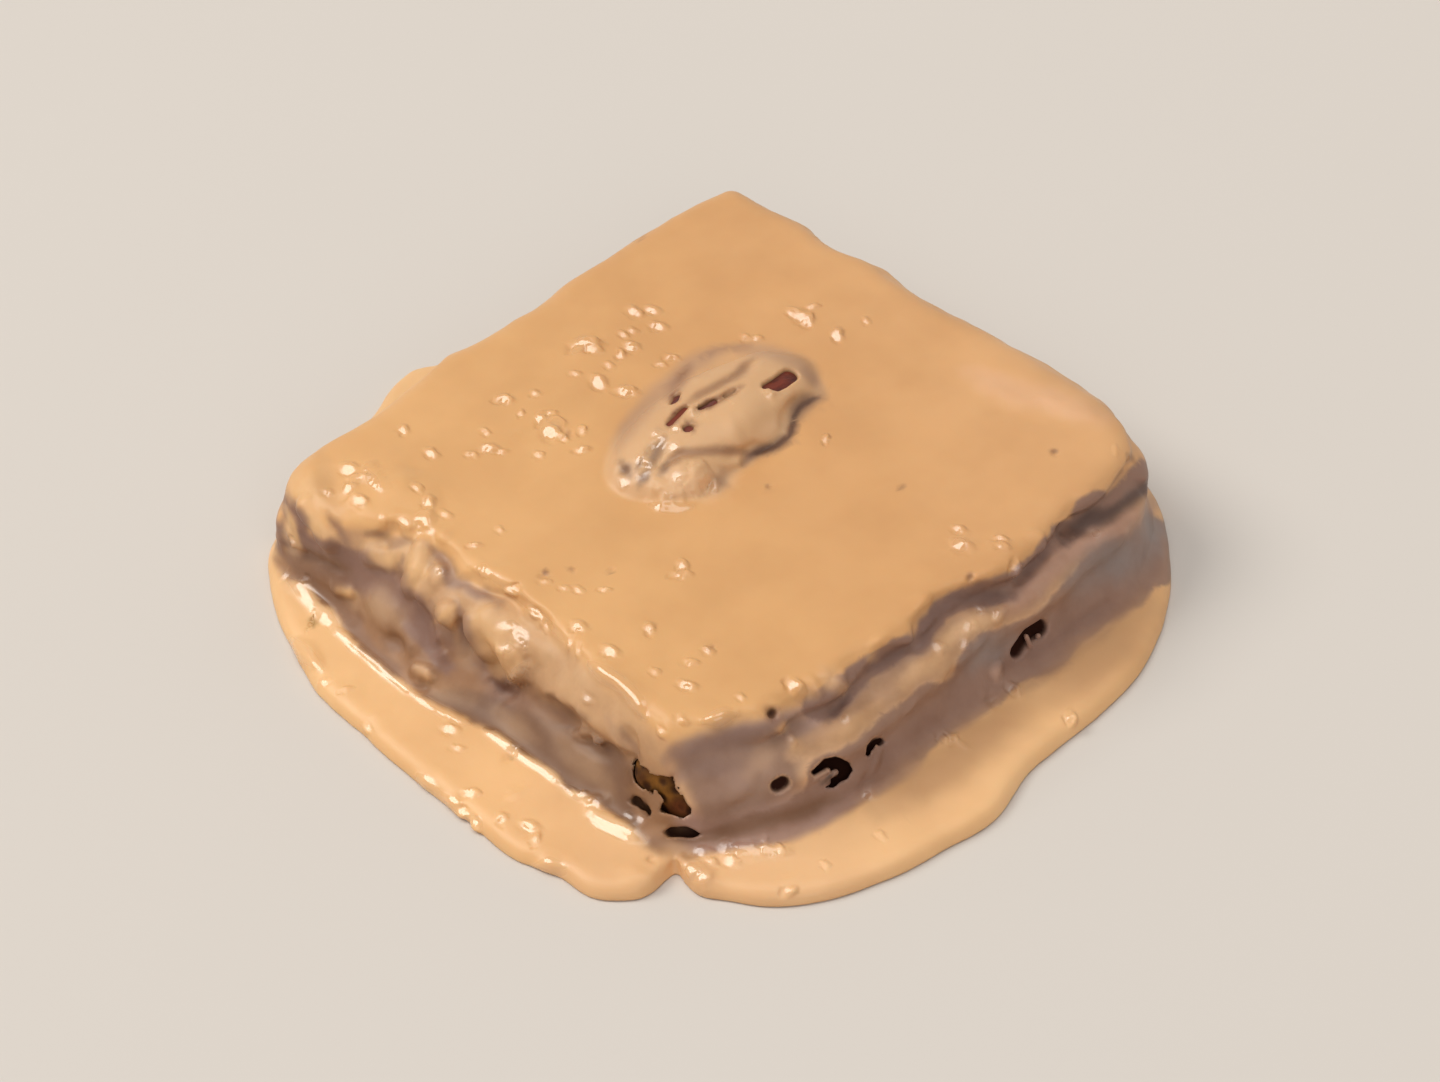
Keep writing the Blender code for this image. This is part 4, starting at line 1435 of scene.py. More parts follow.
NUT_STROKES = expand(
    [
        # the valley beside the spine and the two grooves in it
        (((655, 436), (690, 402), (709, 389), (741, 370), (756, 361)), 0.7, -0.5),
        (((688, 426), (703, 408), (716, 400), (742, 386)), 0.6, -0.7),
        (((668, 424), (686, 407)), 0.6, -0.5),
        (((640, 474), (652, 455), (664, 436)), 0.7, -0.6),
        (((656, 474), (666, 452), (676, 438)), 0.6, -0.4),
        (((674, 414), (700, 394), (728, 378)), 0.45, 0.2),
        (((645, 470), (656, 450)), 0.5, 0.35),
        # the far lobe
        (((720, 362), (745, 358), (770, 356)), 2.0, 0.40),
        (((684, 386), (704, 374)), 1.6, 0.25),
        (((640, 424), (660, 404)), 1.6, 0.20),
        # the near lobe
        (((705, 430), (740, 420), (775, 402)), 2.5, 0.70),
        (((724, 440), (746, 436)), 1.6, 0.35),
        (((778, 412), (790, 396)), 1.3, 0.30),
        # the flap at the lower end
        (((664, 482), (690, 478), (712, 474)), 1.9, 0.85),
        (((666, 467), (679, 454), (699, 452), (722, 451), (744, 452)), 0.65, -0.75),
        (((718, 468), (730, 472), (742, 464)), 0.8, -0.35),
        (((700, 486), (716, 480)), 0.8, 0.25),
        # the crevice along the near side
        (
            (
                (742, 466),
                (748, 454),
                (756, 449),
                (776, 449),
                (789, 436),
                (795, 413),
                (804, 402),
                (823, 395),
            ),
            0.75,
            -1.0,
        ),
        # the far flank
        (((679, 380), (687, 369), (700, 360)), 0.6, -0.35),
        (((640, 408), (660, 392)), 1.2, 0.15),
        (((619, 462), (628, 474)), 0.8, -0.3),
    ]
)
NUT_BARE = [(((771, 386), (780, 381), (791, 373)), 0.98, 0)]
NUT_SPOTS = [
    (((673, 401), (676, 394)), 0.56, 0),
    (((670, 423), (685, 408)), 0.46, 0),
    (((688, 427),), 0.64, 0),
    (((701, 409), (714, 401)), 0.42, 0),
    (((724, 396), (736, 390)), 0.24, 0),
]
NUT_GLINTS = [
    (677, 477, 0.95),
    (668, 496, 0.8),
    (695, 413, 0.5),
    (675, 429, 0.38),
    (657, 435, 0.36),
    (767, 394, 0.45),
    (674, 448, 0.4),
    (640, 460, 0.36),
    (646, 466, 0.36),
    (712, 487, 0.36),
]


def half_nut(places):
    field = nut_dome(places.x, places.y, places.z) + 0.0 * places.x * places.y * places.z
    raise_strokes(field, places, NUT_STROKES)
    return field


def far_folds(x, y, z):
    """How far a place is on the two faces that no picture shows, and under the roll there."""
    hidden = np.maximum(ramp(x, -22.0, -27.0), ramp(y, 24.0, 28.0) * ramp(x, 27.0, 20.0))
    hidden = hidden * ramp(y, -24.0, -18.0)
    edge = 8.7 + 1.9 * lattice_noise(x, y, 0.0 * z, 7.0, 15)
    edge = edge + 0.7 * lattice_noise(x, y, 0.2 * z, 2.6, 16)
    under = ramp(z - edge, 0.7, -0.7) * (0.35 + 0.65 * ramp(z - edge, -5.0, -1.2))
    return hidden, under


def outer_skin(places, late=True):
    """Below zero inside the whole sauce, taken as filled, with every lump and fold."""
    x, y, z = places.x, places.y, places.z
    field = plain_coat(x, y, z)
    join_blobs(field, places, SUNK_LUMPS, 0.5)
    raise_strokes(field, places, EARLY)
    raise_strokes(field, places, RIDGE_LINES, 0.12)
    # It covers the block everywhere, if only as a film.
    field = smooth_min(field, rounded_block(x, y, z, GAP + 0.45), 0.4)
    film = half_nut(places) - FILM
    ring = film + 0.6
    # A shallow moat where the film meets the top.
    field = field + 0.30 * np.exp(-((ring / 1.1) ** 2)) * (z > 11.0)
    field = smooth_min(field, film, 0.9)
    if places.grid:
        near = np.nonzero(np.abs(field) < 1.3)
        px, py, pz = (
            places.x.reshape(-1)[near[0]],
            places.y.reshape(-1)[near[1]],
            places.z.reshape(-1)[near[2]],
        )
    else:
        near = slice(None)
        px, py, pz = x, y, z
    soft = lattice_noise(px, py, pz, 5.5, 11)
    small = lattice_noise(px, py, pz, 2.3, 12)
    tiny = lattice_noise(px, py, pz, 1.1, 13)
    on_top = ramp(pz, 11.5, 13.3)
    low = ramp(pz, 4.6, 3.2)
    wall = 1.0 - np.maximum(on_top, low)
    left = ramp(-py, 26.0, 31.0)
    move = soft * (0.10 + 0.22 * wall + 0.10 * wall * left)
    move = move + small * (0.035 + 0.10 * wall + 0.06 * wall * left)
    move = move + tiny * (0.010 + 0.02 * wall)
    hidden, fold = far_folds(px, py, pz)
    move = move + hidden * wall * (
        0.30 * lattice_noise(px, py, 1.7 * pz, 5.0, 14) + 0.25 - 0.75 * fold
    )
    field[near] -= move
    if late:
        raise_facets(field, places, LATE["facets"])
        raise_glints(field, places, LATE["glints"])
    return field


def bulging_block(places, grow=0.0):
    """The baked block, with the part of it that shows through the coat at one corner."""
    field = rounded_block(places.x, places.y, places.z, grow)
    field = field + 0.0 * places.x * places.y * places.z
    more = CRUMB_GAP if grow else 0.0
    join_blobs(field, places, [(path, r + more, h) for path, r, h in CRUMB_BULGE], 0.5)
    return field


def first_skin(points):
    x, y, z = (np.ascontiguousarray(points[:, k]) for k in range(3))
    return outer_skin(Places(x, y, z, False), late=False)


LEAST_GLINT = 0.46
SHINE = np.array(KEY_WAY) / np.linalg.norm(KEY_WAY) + BACK
SHINE /= np.linalg.norm(SHINE)


def placed_glints(groups, tail, steepest):
    """Risings whose steep side mirrors the key light to the camera at each given place.
    Each group is (pairs, radius)."""
    made = []
    ends = np.cumsum([len(pairs) for pairs, _ in groups])[:-1]
    found = on_coat(np.concatenate([pairs for pairs, _ in groups]), first_skin)
    slope = np.stack(
        [first_skin(found + off) - first_skin(found - off) for off in 0.35 * np.eye(3)], 1
    )
    slope /= np.linalg.norm(slope, axis=1)[:, None]
    for (_, radius), at, normals in zip(groups, np.split(found, ends), np.split(slope, ends)):
        middles, frames, heights = [], [], []
        for p, n in zip(at, normals):
            lean = SHINE / max(float(n @ SHINE), 0.3) - n
            size = float(np.linalg.norm(lean))
            if size < 0.12:
                continue
            lean = lean / size
            middles.append(p - 0.7 * radius * lean)
            frames.append((lean, np.cross(n, lean), n))
            heights.append(min(size, steepest) * radius / 0.858)
        if middles:
            made.append((np.array(middles), frames, radius, heights, tail))
    return made


def placed_facets(glints, steepest):
    """A tilted facet for each glint, larger for a larger one, and turned by chance."""
    chance = np.random.RandomState(8)
    found = on_coat(np.array([(a, b) for a, b, _ in glints], float), first_skin)
    slope = np.stack(
        [first_skin(found + off) - first_skin(found - off) for off in 0.35 * np.eye(3)], 1
    )
    slope /= np.linalg.norm(slope, axis=1)[:, None]
    made = []
    for (_, _, r), p, n in zip(glints, found, slope):
        lean = SHINE / max(float(n @ SHINE), 0.3) - n
        size = float(np.linalg.norm(lean))
        turn = chance.uniform(-0.9, 0.9)
        if size < 0.05:
            continue
        lean = lean / size
        frame = (lean, np.cross(n, lean), n)
        made.append((p, frame, min(size, steepest), facet_size(r), turn))
    return made


def facet_size(r):
    return 0.44 + 2.9 * max(r - 0.40, 0.0)


def singly(glints, widen=1.0):
    """A group for each glint: one place for a small one, a few close together for a large."""
    chance = np.random.RandomState(5)
    made = []
    for a, b, r in glints:
        count = 1 + int(round(14.0 * max(r - 0.44, 0.0)))
        off = chance.uniform(-1.0, 1.0, (count, 2)) * (2.5 + 1.6 * count, 1.5 + 0.8 * count)
        off = off - off.mean(0) if count > 1 else 0.0 * off
        made.append((np.array((a, b), float) + off, LEAST_GLINT + widen * max(r - 0.42, 0.0)))
    return made


def along(streaks):
    """Places every so often along each streak: [(path, radius)]."""
    made = []
    for path, radius in streaks:
        path = np.asarray(path, float)
        size = np.concatenate([[0.0], np.cumsum(np.hypot(*np.diff(path, axis=0).T))])
        at = np.linspace(0.0, size[-1], max(2, int(size[-1] / (7.5 * radius)) + 1))
        made.append((np.stack([np.interp(at, size, path[:, k]) for k in (0, 1)], 1), radius))
    return made


LATE = {
    "facets": placed_facets(GLINTS + GLINTS_POOL, 1.0),
    "glints": placed_glints(singly(GLINTS_FACES), 1.2, 1.2)
    + placed_glints(singly(NUT_GLINTS), 1.3, 1.2)
    + placed_glints(along(STREAKS), 1.8, 1.2),
    "pits": expand(PITS, first_skin),
    "pit_blobs": sunk(PIT_BLOBS, first_skin),
    "windows": on_coat([window[0] for window in WINDOWS], first_skin),
    "patch": on_coat([(660, 795)], first_skin)[0],
    "nut_bare": expand(NUT_BARE, first_skin),
    "nut_spots": expand(NUT_SPOTS, first_skin),
}


def cut_windows(field, places, middle, windows, waver, deep):
    """Cuts outlines given in the camera's frame into the coat round a place, so deep."""
    found = places.near(middle[None, :], 4.6)
    if found is None:
        return
    where, (x, y, z) = found
    flat = 0.0 * (x * y * z)
    x, y, z = x + flat, y + flat, z + flat
    points = np.stack([x.ravel(), y.ravel(), z.ravel()], 1)
    across, down, depth = in_frame(points)
    across = across + 2.2 * waver * lattice_noise(*points.T, 1.0, 61)
    down = down + 2.2 * waver * lattice_noise(*points.T, 1.0, 62)
    below = (middle - points) @ BACK - deep - 0.3 * lattice_noise(*points.T, 1.3, 63)
    for corners in windows:
        d = from_outline(across, down, corners) * depth / CAM_FOCAL
        d = smooth_max(d, below, 0.5).reshape(x.shape)
        field[where] = smooth_max(field[where], -d, 0.3)


def sauce_field(places):
    x, y, z = places.x, places.y, places.z
    field = outer_skin(places)
    cut_blobs(field, places, LATE["pits"], 0.35)
    cut_windows(field, places, LATE["patch"], PATCH, 1.0, 1.3)
    for middle, (_, corners, deep) in zip(LATE["windows"], WINDOWS):
        cut_windows(field, places, middle, corners, 0.7, deep)
    join_blobs(field, places, LATE["pit_blobs"], 0.2)
    cut_blobs(field, places, LATE["nut_bare"], 0.25)
    cut_blobs(field, places, LATE["nut_spots"], 0.2)
    field = np.maximum(field, -bulging_block(places, GAP))
    # The film sits on the nut, and reaches a little into it, so that it stays closed.
    field = np.maximum(field, -(half_nut(places) + 0.7))
    field = smooth_max(field, -z, 0.35)
    return field


# ---------------------------------------------------------------- meshing
def surface_net(field, xs, ys, zs):
    """One point in each cell that the surface crosses, and a quad round each crossed edge."""
    axes = (xs, ys, zs)
    within = field < 0
    count = np.zeros(tuple(n - 1 for n in field.shape), np.int8)
    for dx in (0, 1):
        for dy in (0, 1):
            for dz in (0, 1):
                count += within[
                    dx : field.shape[0] - 1 + dx,
                    dy : field.shape[1] - 1 + dy,
                    dz : field.shape[2] - 1 + dz,
                ]
    mixed = (count > 0) & (count < 8)
    cells = np.argwhere(mixed)
    number = np.full(mixed.shape, -1, np.int32)
    number[mixed] = np.arange(len(cells))
    total = np.zeros((len(cells), 3))
    hits = np.zeros(len(cells))
    for axis in range(3):
        b, c = [k for k in range(3) if k != axis]
        for db in (0, 1):
            for dc in (0, 1):
                start = cells.copy()
                start[:, b] += db
                start[:, c] += dc
                stop = start.copy()
                stop[:, axis] += 1
                f0 = field[tuple(start.T)]
                f1 = field[tuple(stop.T)]
                cross = (f0 < 0) != (f1 < 0)
                share = f0[cross] / (f0[cross] - f1[cross])
                place = start[cross].astype(float)
                place[:, axis] += share
                total[cross] += place
                hits[cross] += 1
    spot = total / hits[:, None]
    points = np.stack(
        [np.interp(spot[:, k], np.arange(len(axes[k])), axes[k]) for k in range(3)], 1
    )
    quads = []
    for axis in range(3):
        b, c = (axis + 1) % 3, (axis + 2) % 3
        lower = [slice(None)] * 3
        upper = [slice(None)] * 3
        lower[axis], upper[axis] = slice(0, -1), slice(1, None)
        first, second = within[tuple(lower)], within[tuple(upper)]
        change = first != second
        edges = np.argwhere(change)
        keep = (
            (edges[:, b] > 0)
            & (edges[:, c] > 0)
            & (edges[:, b] < field.shape[b] - 1)
            & (edges[:, c] < field.shape[c] - 1)
        )
        edges = edges[keep]
        ring = []
        for db, dc in ((-1, -1), (0, -1), (0, 0), (-1, 0)):
            cell = edges.copy()
            cell[:, b] += db
            cell[:, c] += dc
            ring.append(number[tuple(cell.T)])
        ring = np.stack(ring, 1)
        flip = ~first[tuple(edges.T)]
        ring[flip] = ring[flip][:, ::-1]
        quads.append(ring)
    return points, np.concatenate(quads)


def settle(points, field_at, rounds=2, reach=0.25):
    """Moves points onto the surface, and gives the outward direction there."""
    step = 0.04
    for turn in range(rounds + 1):
        slope = []
        for axis in range(3):
            high, low = points.copy(), points.copy()
            high[:, axis] += step
            low[:, axis] -= step
            slope.append((field_at(high) - field_at(low)) / (2 * step))
        slope = np.stack(slope, 1)
        size = (slope**2).sum(1) + 1e-6
        if turn == rounds:
            return points, slope / np.sqrt(size)[:, None]
        value = field_at(points)
        move = -slope * (value / size)[:, None]
        far = np.linalg.norm(move, axis=1)
        move *= np.minimum(1.0, reach / np.maximum(far, 1e-9))[:, None]
        points = points + move


def mesh_from(name, points, faces):
    mesh = bpy.data.meshes.new(name)
    mesh.vertices.add(len(points))
    mesh.vertices.foreach_set("co", (np.asarray(points) * MM).astype(np.float32).ravel())
    corners = faces.shape[1]
    mesh.loops.add(len(faces) * corners)
    mesh.loops.foreach_set("vertex_index", faces.astype(np.int32).ravel())
    mesh.polygons.add(len(faces))
    mesh.polygons.foreach_set("loop_start", np.arange(len(faces), dtype=np.int32) * corners)
    mesh.update(calc_edges=True)
    mesh.validate()
    mesh.polygons.foreach_set("use_smooth", np.ones(len(mesh.polygons), bool))
    return mesh


def new_object(name, mesh):
    made = bpy.data.objects.new(name, mesh)
    bpy.context.scene.collection.objects.link(made)
    return made


def apply_modifiers(obj):
    graph = bpy.context.evaluated_depsgraph_get()
    mesh = bpy.data.meshes.new_from_object(obj.evaluated_get(graph))
    old = obj.data
    obj.modifiers.clear()
    obj.data = mesh
    bpy.data.meshes.remove(old)
    mesh.name = obj.name


def thin_out(obj, most):
    mesh = obj.data
    mesh.calc_loop_triangles()
    have = len(mesh.loop_triangles)
    if have > most:
        step = obj.modifiers.new("fewer", "DECIMATE")
        step.ratio = most / have
        apply_modifiers(obj)


def points_of(mesh):
    points = np.empty(len(mesh.vertices) * 3, np.float32)
    mesh.vertices.foreach_get("co", points)
    return points.reshape(-1, 3).astype(float) / MM


def put_points(mesh, points):
    mesh.vertices.foreach_set("co", (points * MM).astype(np.float32).ravel())
    mesh.update()


def put_field(mesh, name, values):
    layer = mesh.attributes.new(name, "FLOAT", "POINT")
    layer.data.foreach_set("value", np.asarray(values, np.float32))


def axis_steps(low, high, step):
    return np.arange(low, high + step, step)


def grid_places(low, high, step):
    # The floor lies half way between two layers of the grid.
    xs = axis_steps(low[0], high[0], step).astype(np.float32)
    ys = axis_steps(low[1], high[1], step).astype(np.float32)
    zs = ((np.arange(int((high[2] - low[2]) / step) + 2) - 1.5) * step + low[2]).astype(
        np.float32
    )
    return Places(xs[:, None, None], ys[None, :, None], zs[None, None, :], True), (xs, ys, zs)


def at_points(function):
    def worked_out(points):
        x, y, z = (np.ascontiguousarray(points[:, k]) for k in range(3))
        return function(Places(x, y, z, False))

    return worked_out


def build_sauce():
    places, axes = grid_places((-51.5, -48.0, 0.0), (54.5, 45.0, 18.6), GRID)
    field = sauce_field(places).astype(np.float32)
    points, quads = surface_net(field, *axes)
    sauce = new_object("sauce_coat", mesh_from("sauce_coat", points, quads))
    thin_out(sauce, SAUCE_TRIANGLES)
    mesh = sauce.data
    points = points_of(mesh)
    points, normals = settle(points, at_points(sauce_field), 1)
    points[:, 2] = np.where(points[:, 2] < 0.05, 0.0, points[:, 2])
    put_points(mesh, points)
    # Shading follows the true surface, except at the sharp rims inside.
    mesh.polygons.foreach_set("use_smooth", np.ones(len(mesh.polygons), bool))
    shown = at_points(outer_skin)(points)
    smooth = np.abs(shown) < 0.05
    normals[~smooth] = 0.0
    mesh.normals_split_custom_set_from_vertices([tuple(n) for n in normals])
    paint_sauce(mesh, points, normals, shown)
    return sauce


class Brush:
    """Lays strokes given in the camera's frame on the side of the mesh that shows there."""

    def __init__(self, points, normals):
        self.across, self.down, self.depth = in_frame(points)
        self.faces = ramp(normals @ BACK, -0.15, 0.10)
        x, y, z = points.T
        self.shift = tuple(
            4.0 * lattice_noise(x, y, z, 2.8, seed) + 1.8 * lattice_noise(x, y, z, 1.1, seed + 9)
            for seed in (51, 52)
        )

    def places(self, waver):
        return self.across + waver * self.shift[0], self.down + waver * self.shift[1]

    def glow(self, strokes, waver=1.0, soft=False):
        total = np.zeros(len(self.depth))
        across, down = self.places(waver)
        for pairs, radius, amount in strokes:
            pairs = np.atleast_2d(np.asarray(pairs, float))
            reach = radius * CAM_FOCAL / CAM_DISTANCE
            far = 1.8 * reach
            far_off = in_frame(on_coat(pairs))[2]
            where = np.nonzero(
                (across > pairs[:, 0].min() - far)
                & (across < pairs[:, 0].max() + far)
                & (down > pairs[:, 1].min() - far)
                & (down < pairs[:, 1].max() + far)
                & (self.depth > far_off.min() - 4.0)
                & (self.depth < far_off.max() + 4.0)
            )[0]
            if not len(where):
                continue
            flat = np.concatenate([pairs, np.zeros((len(pairs), 1))], 1)
            d2, to_end, length = path_distance(across[where], down[where], 0.0, flat)
            fade = end_fade(to_end, length, reach)
            power = 1.0 if soft else 1.4
            wide = reach * (0.6 + 0.4 * fade)
            here = amount * (0.45 + 0.55 * fade) * np.exp(-((d2 / wide**2) ** power))
            total[where] = np.maximum(total[where], here * self.faces[where])
        return total

    def fill(self, areas, waver=1.0):
        """Areas are (corners, softness in px, amount)."""
        total = np.zeros(len(self.depth))
        across, down = self.places(waver)
        for corners, soft, amount in areas:
            corners = np.asarray(corners, float)
            where = np.nonzero(
                (across > corners[:, 0].min() - soft)
                & (across < corners[:, 0].max() + soft)
                & (down > corners[:, 1].min() - soft)
                & (down < corners[:, 1].max() + soft)
            )[0]
            if not len(where):
                continue
            d = -from_outline(across[where], down[where], corners)
            here = amount * ramp(d, -soft, soft) * self.faces[where]
            total[where] = np.maximum(total[where], here)
        return total


def laid_over(shade, share, colour):
    share = np.clip(share, 0.0, 1.0)[:, None]
    return shade * (1.0 - share) + np.array(colour[:3]) * share


def blended(value, stops):
    """A colour at each value, from (value, colour) stops."""
    at = [s[0] for s in stops]
    return np.stack([np.interp(value, at, [s[1][k] for s in stops]) for k in range(3)], 1)


def paint_sauce(mesh, points, normals, shown):
    x, y, z = points.T
    steep = 1.0 - np.clip(normals[:, 2], 0.0, 1.0)
    drift = lattice_noise(x, y, z, 6.0, 41)
    small = lattice_noise(x, y, z, 2.2, 42)

    # the top, and the pool
    shade = blended(y + 0.35 * x + 5.0 * drift, TOP_STOPS)
    poolward = ramp(z, 3.4, 2.3)
    pool = blended(np.degrees(np.arctan2(y, x)) + 12.0 * drift, POOL_STOPS)
    shade = shade + (pool - shade) * poolward[:, None]

    # walls that no picture shows
    # these walls get painted shade from the stops, darker towards the foot
    wall = ramp(z, 13.2, 11.2) * ramp(steep, 0.25, 0.8)
    wall = wall * ramp(z, 2.0, 3.4)
    shade = shade + (blended(z + 1.2 * drift, WALL_STOPS) - shade) * wall[:, None]

    hidden, fold = far_folds(x, y, z)
    # painted shade under the roll on the unseen faces
    shade = laid_over(shade, 0.8 * hidden * wall * fold, rgb(138, 103, 84))
    light = ramp(lattice_noise(x, y, 1.7 * z, 5.0, 14), 0.1, 0.6)
    shade = laid_over(shade, 0.45 * hidden * wall * light, rgb(206, 163, 122))

    # the +X face
    over_edge = x - edge_x(y) + 0.25 * small
    on_x = ramp(over_edge, -0.35, 0.75) * ramp(x - foot_x(y) - 0.3 * small, 0.7, -0.5)
    on_x = on_x * ramp(y, -34.0, -32.5) * ramp(z, 1.2, 2.2)
    # colours by height: painted light on the roll, painted shade under the edge and near the foot
    colour = blended(z - 0.02 * y + 0.9 * drift + 0.4 * small, FACE_X_STOPS)
    shade = shade + (colour - shade) * on_x[:, None]
    # the -Y face
    over_edge = edge_y(x) - y + 0.2 * small
    on_y = ramp(over_edge, -0.1, 0.9) * ramp(foot_y(x) - y - 0.3 * small, 0.7, -0.5)
    on_y = on_y * ramp(x, 33.5, 31.0) * ramp(z, 1.2, 2.2)
    # colours by height: painted shade towards the foot
    colour = blended(z + 0.9 * drift + 0.4 * small, FACE_Y_STOPS)
    shade = shade + (colour - shade) * on_y[:, None]
    wall = np.maximum(wall, np.maximum(on_x, on_y))

    # the film over the nut
    across, along = nut_axes(x, y)
    over_nut = ramp(np.hypot(across / 8.2, along / 15.0), 1.04, 0.84) * ramp(z, 13.2, 14.1)
    shade = laid_over(shade, 0.5 * over_nut, NUT_FILM)

    brush = Brush(points, normals)
    # painted light and shade on the two seen faces
    for colour, areas in LIT_AND_SHADED_AREAS:
        shade = laid_over(shade, brush.fill(areas), colour)
    for colour, strokes in PAINT:
        shade = laid_over(shade, brush.glow(strokes), colour)
    shade = laid_over(shade, 0.7 * brush.fill([(NUT_OUTLINE, 7.0, 1.0)], 0.5), NUT_FILM)
    for colour, strokes in NUT_PAINT:
        shade = laid_over(shade, brush.glow(strokes, 0.4), colour)
    bared = brush.glow([(((638, 778), (656, 788), (684, 812)), 2.6, 1.0)], 0.0)
    under = ramp(-shown, 0.04, 0.3) * np.minimum(1.4 * bared, 1.0)
    shade = laid_over(shade, under, rgb(92, 56, 24))
    # painted shade inside holes and pits, deeper than the outer skin
    inside = ramp(-shown, 0.12, 0.7) * (1.0 - bared)
    inside = np.maximum(inside, brush.glow(PAINTED_PIT_SHADE, 0.3))
    spots = GLINTS_FACES + tuple(NUT_GLINTS)
    facets = GLINTS + GLINTS_POOL
    lines = [(path, 1.5 * radius, 1.0) for path, radius in STREAKS]
    lines += [(path, 1.4 * radius, 1.0) for path, radius, _ in RIDGES]
    spots = [(((a, b),), 1.5 * LEAST_GLINT, 0.8) for a, b, r in spots]
    spots += [(((a, b),), 1.05 * facet_size(r), min(0.50 + 3.5 * (r - 0.40), 0.95)) for a, b, r in facets]
    wet = brush.glow(spots + list(WET) + lines, 0.0)
    for name, values in (("wall", wall), ("inside", inside), ("over_nut", over_nut), ("wet", wet)):
        put_field(mesh, name, values)
    layer = mesh.attributes.new("shade", "FLOAT_COLOR", "POINT")
    full = np.concatenate([shade, np.ones((len(shade), 1))], 1)
    layer.data.foreach_set("color", full.astype(np.float32).ravel())


def build_nut():
    places, axes = grid_places((-13.0, -13.0, 12.4), (9.0, 21.0, 17.8), 0.26)

    def nut_field(where):
        field = half_nut(where)
        fine = lattice_noise(
            where.x + 0.0 * where.y * where.z,
            where.y * 0.35 + 0.0 * where.x * where.z,
            where.z + 0.0 * where.x * where.y,
            0.8,
            21,
        )
        field = field + 0.05 * fine
        return smooth_max(field, NUT_BASE + 0.05 - where.z, 0.5)

    field = nut_field(places).astype(np.float32)
    points, quads = surface_net(field, *axes)
    points, _ = settle(points, at_points(nut_field), 1)
    return new_object("pecan_half", mesh_from("pecan_half", points, quads))


CRUMB_PAINT = (
    (rgb(82, 46, 14), [(((630, 770), (638, 775), (646, 788)), 1.0, 0.9)]),
    (rgb(128, 82, 24), [(((652, 784), (662, 786), (670, 796)), 1.4, 0.75)]),
    (rgb(96, 46, 14), [(((664, 808), (676, 808), (686, 812)), 1.0, 0.9)]),
    (rgb(74, 38, 8), [(((641, 775), (645, 784)), 0.4, 0.8), (((669, 778), (671, 784)), 0.4, 0.5)]),
)


def paint_crumb(mesh):
    points = points_of(mesh)
    x, y, z = points.T
    normals = np.empty(len(points) * 3, np.float32)
    mesh.vertices.foreach_get("normal", normals)
    tone = ramp(lattice_noise(x, y, z, 1.4, 71), -0.4, 0.4)
    shade = np.array(rgb(86, 48, 14)[:3]) * (1.0 - tone)[:, None]
    shade = shade + np.array(rgb(130, 84, 30)[:3]) * tone[:, None]
    brush = Brush(points, normals.reshape(-1, 3))
    for colour, strokes in CRUMB_PAINT:
        shade = laid_over(shade, brush.glow(strokes, 0.6), colour)
    layer = mesh.attributes.new("shade", "FLOAT_COLOR", "POINT")
    full = np.concatenate([shade, np.ones((len(shade), 1))], 1)
    layer.data.foreach_set("color", full.astype(np.float32).ravel())


def build_crumb():
    places, axes = grid_places((-31.5, -34.5, 0.0), (34.5, 31.5, 11.8), 0.42)

    def crumb_field(where):
        flat = 0.0 * (where.x * where.y * where.z)
        x, y, z = where.x + flat, where.y + flat, where.z + flat
        plain = bulging_block(where)
        field = plain + 0.04
        near = np.abs(field) < 1.6
        px, py, pz = x[near], y[near], z[near]
        coarse = lattice_noise(px, py, pz, 1.7, 31)
        grain = lattice_noise(px, py, pz, 0.8, 32)
        pore = np.maximum(lattice_noise(px, py, pz, 1.5, 33) - 0.25, 0.0)
        field[near] += 0.13 * coarse + 0.08 * grain + 0.7 * pore
        field = np.maximum(field, plain + 0.01)
        return np.maximum(field, -z)

    field = crumb_field(places).astype(np.float32)
    points, quads = surface_net(field, *axes)
    points[:, 2] = np.where(points[:, 2] < 0.1, 0.0, points[:, 2])
    crumb = new_object("crumb_block", mesh_from("crumb_block", points, quads))
    thin_out(crumb, 90000)
    paint_crumb(crumb.data)
    return crumb


# ---------------------------------------------------------------- materials
def shader_of(name, roughness):
    made = bpy.data.materials.new(name)
    made.use_nodes = True
    tree = made.node_tree
    shader = tree.nodes["Principled BSDF"]
    shader.inputs["Roughness"].default_value = roughness
    return made, tree, shader


def link(tree, source, target):
    tree.links.new(source, target)


def attribute(tree, name):
    node = tree.nodes.new("ShaderNodeAttribute")
    node.attribute_type = "GEOMETRY"
    node.attribute_name = name
    return node.outputs["Fac"]


def mixed(tree, share, first, second, kind="MIX"):
    node = tree.nodes.new("ShaderNodeMix")
    node.data_type = "RGBA"
    node.blend_type = kind
    for socket, value in ((node.inputs[0], share), (node.inputs[6], first), (node.inputs[7], second)):
        if isinstance(value, (int, float, tuple)):
            socket.default_value = value
        else:
            link(tree, value, socket)
    return node.outputs[2]


def noise_node(tree, coordinates, scale, detail=3.0, roughness=0.5):
    node = tree.nodes.new("ShaderNodeTexNoise")
    node.inputs["Scale"].default_value = scale
    node.inputs["Detail"].default_value = detail
    node.inputs["Roughness"].default_value = roughness
    link(tree, coordinates, node.inputs["Vector"])
    return node.outputs["Fac"]


def ranged(tree, value, a, b, c=0.0, d=1.0, smooth=True):
    node = tree.nodes.new("ShaderNodeMapRange")
    if smooth:
        node.interpolation_type = "SMOOTHSTEP"
    node.inputs["From Min"].default_value = a
    node.inputs["From Max"].default_value = b
    node.inputs["To Min"].default_value = c
    node.inputs["To Max"].default_value = d
    link(tree, value, node.inputs["Value"])
    return node.outputs["Result"]


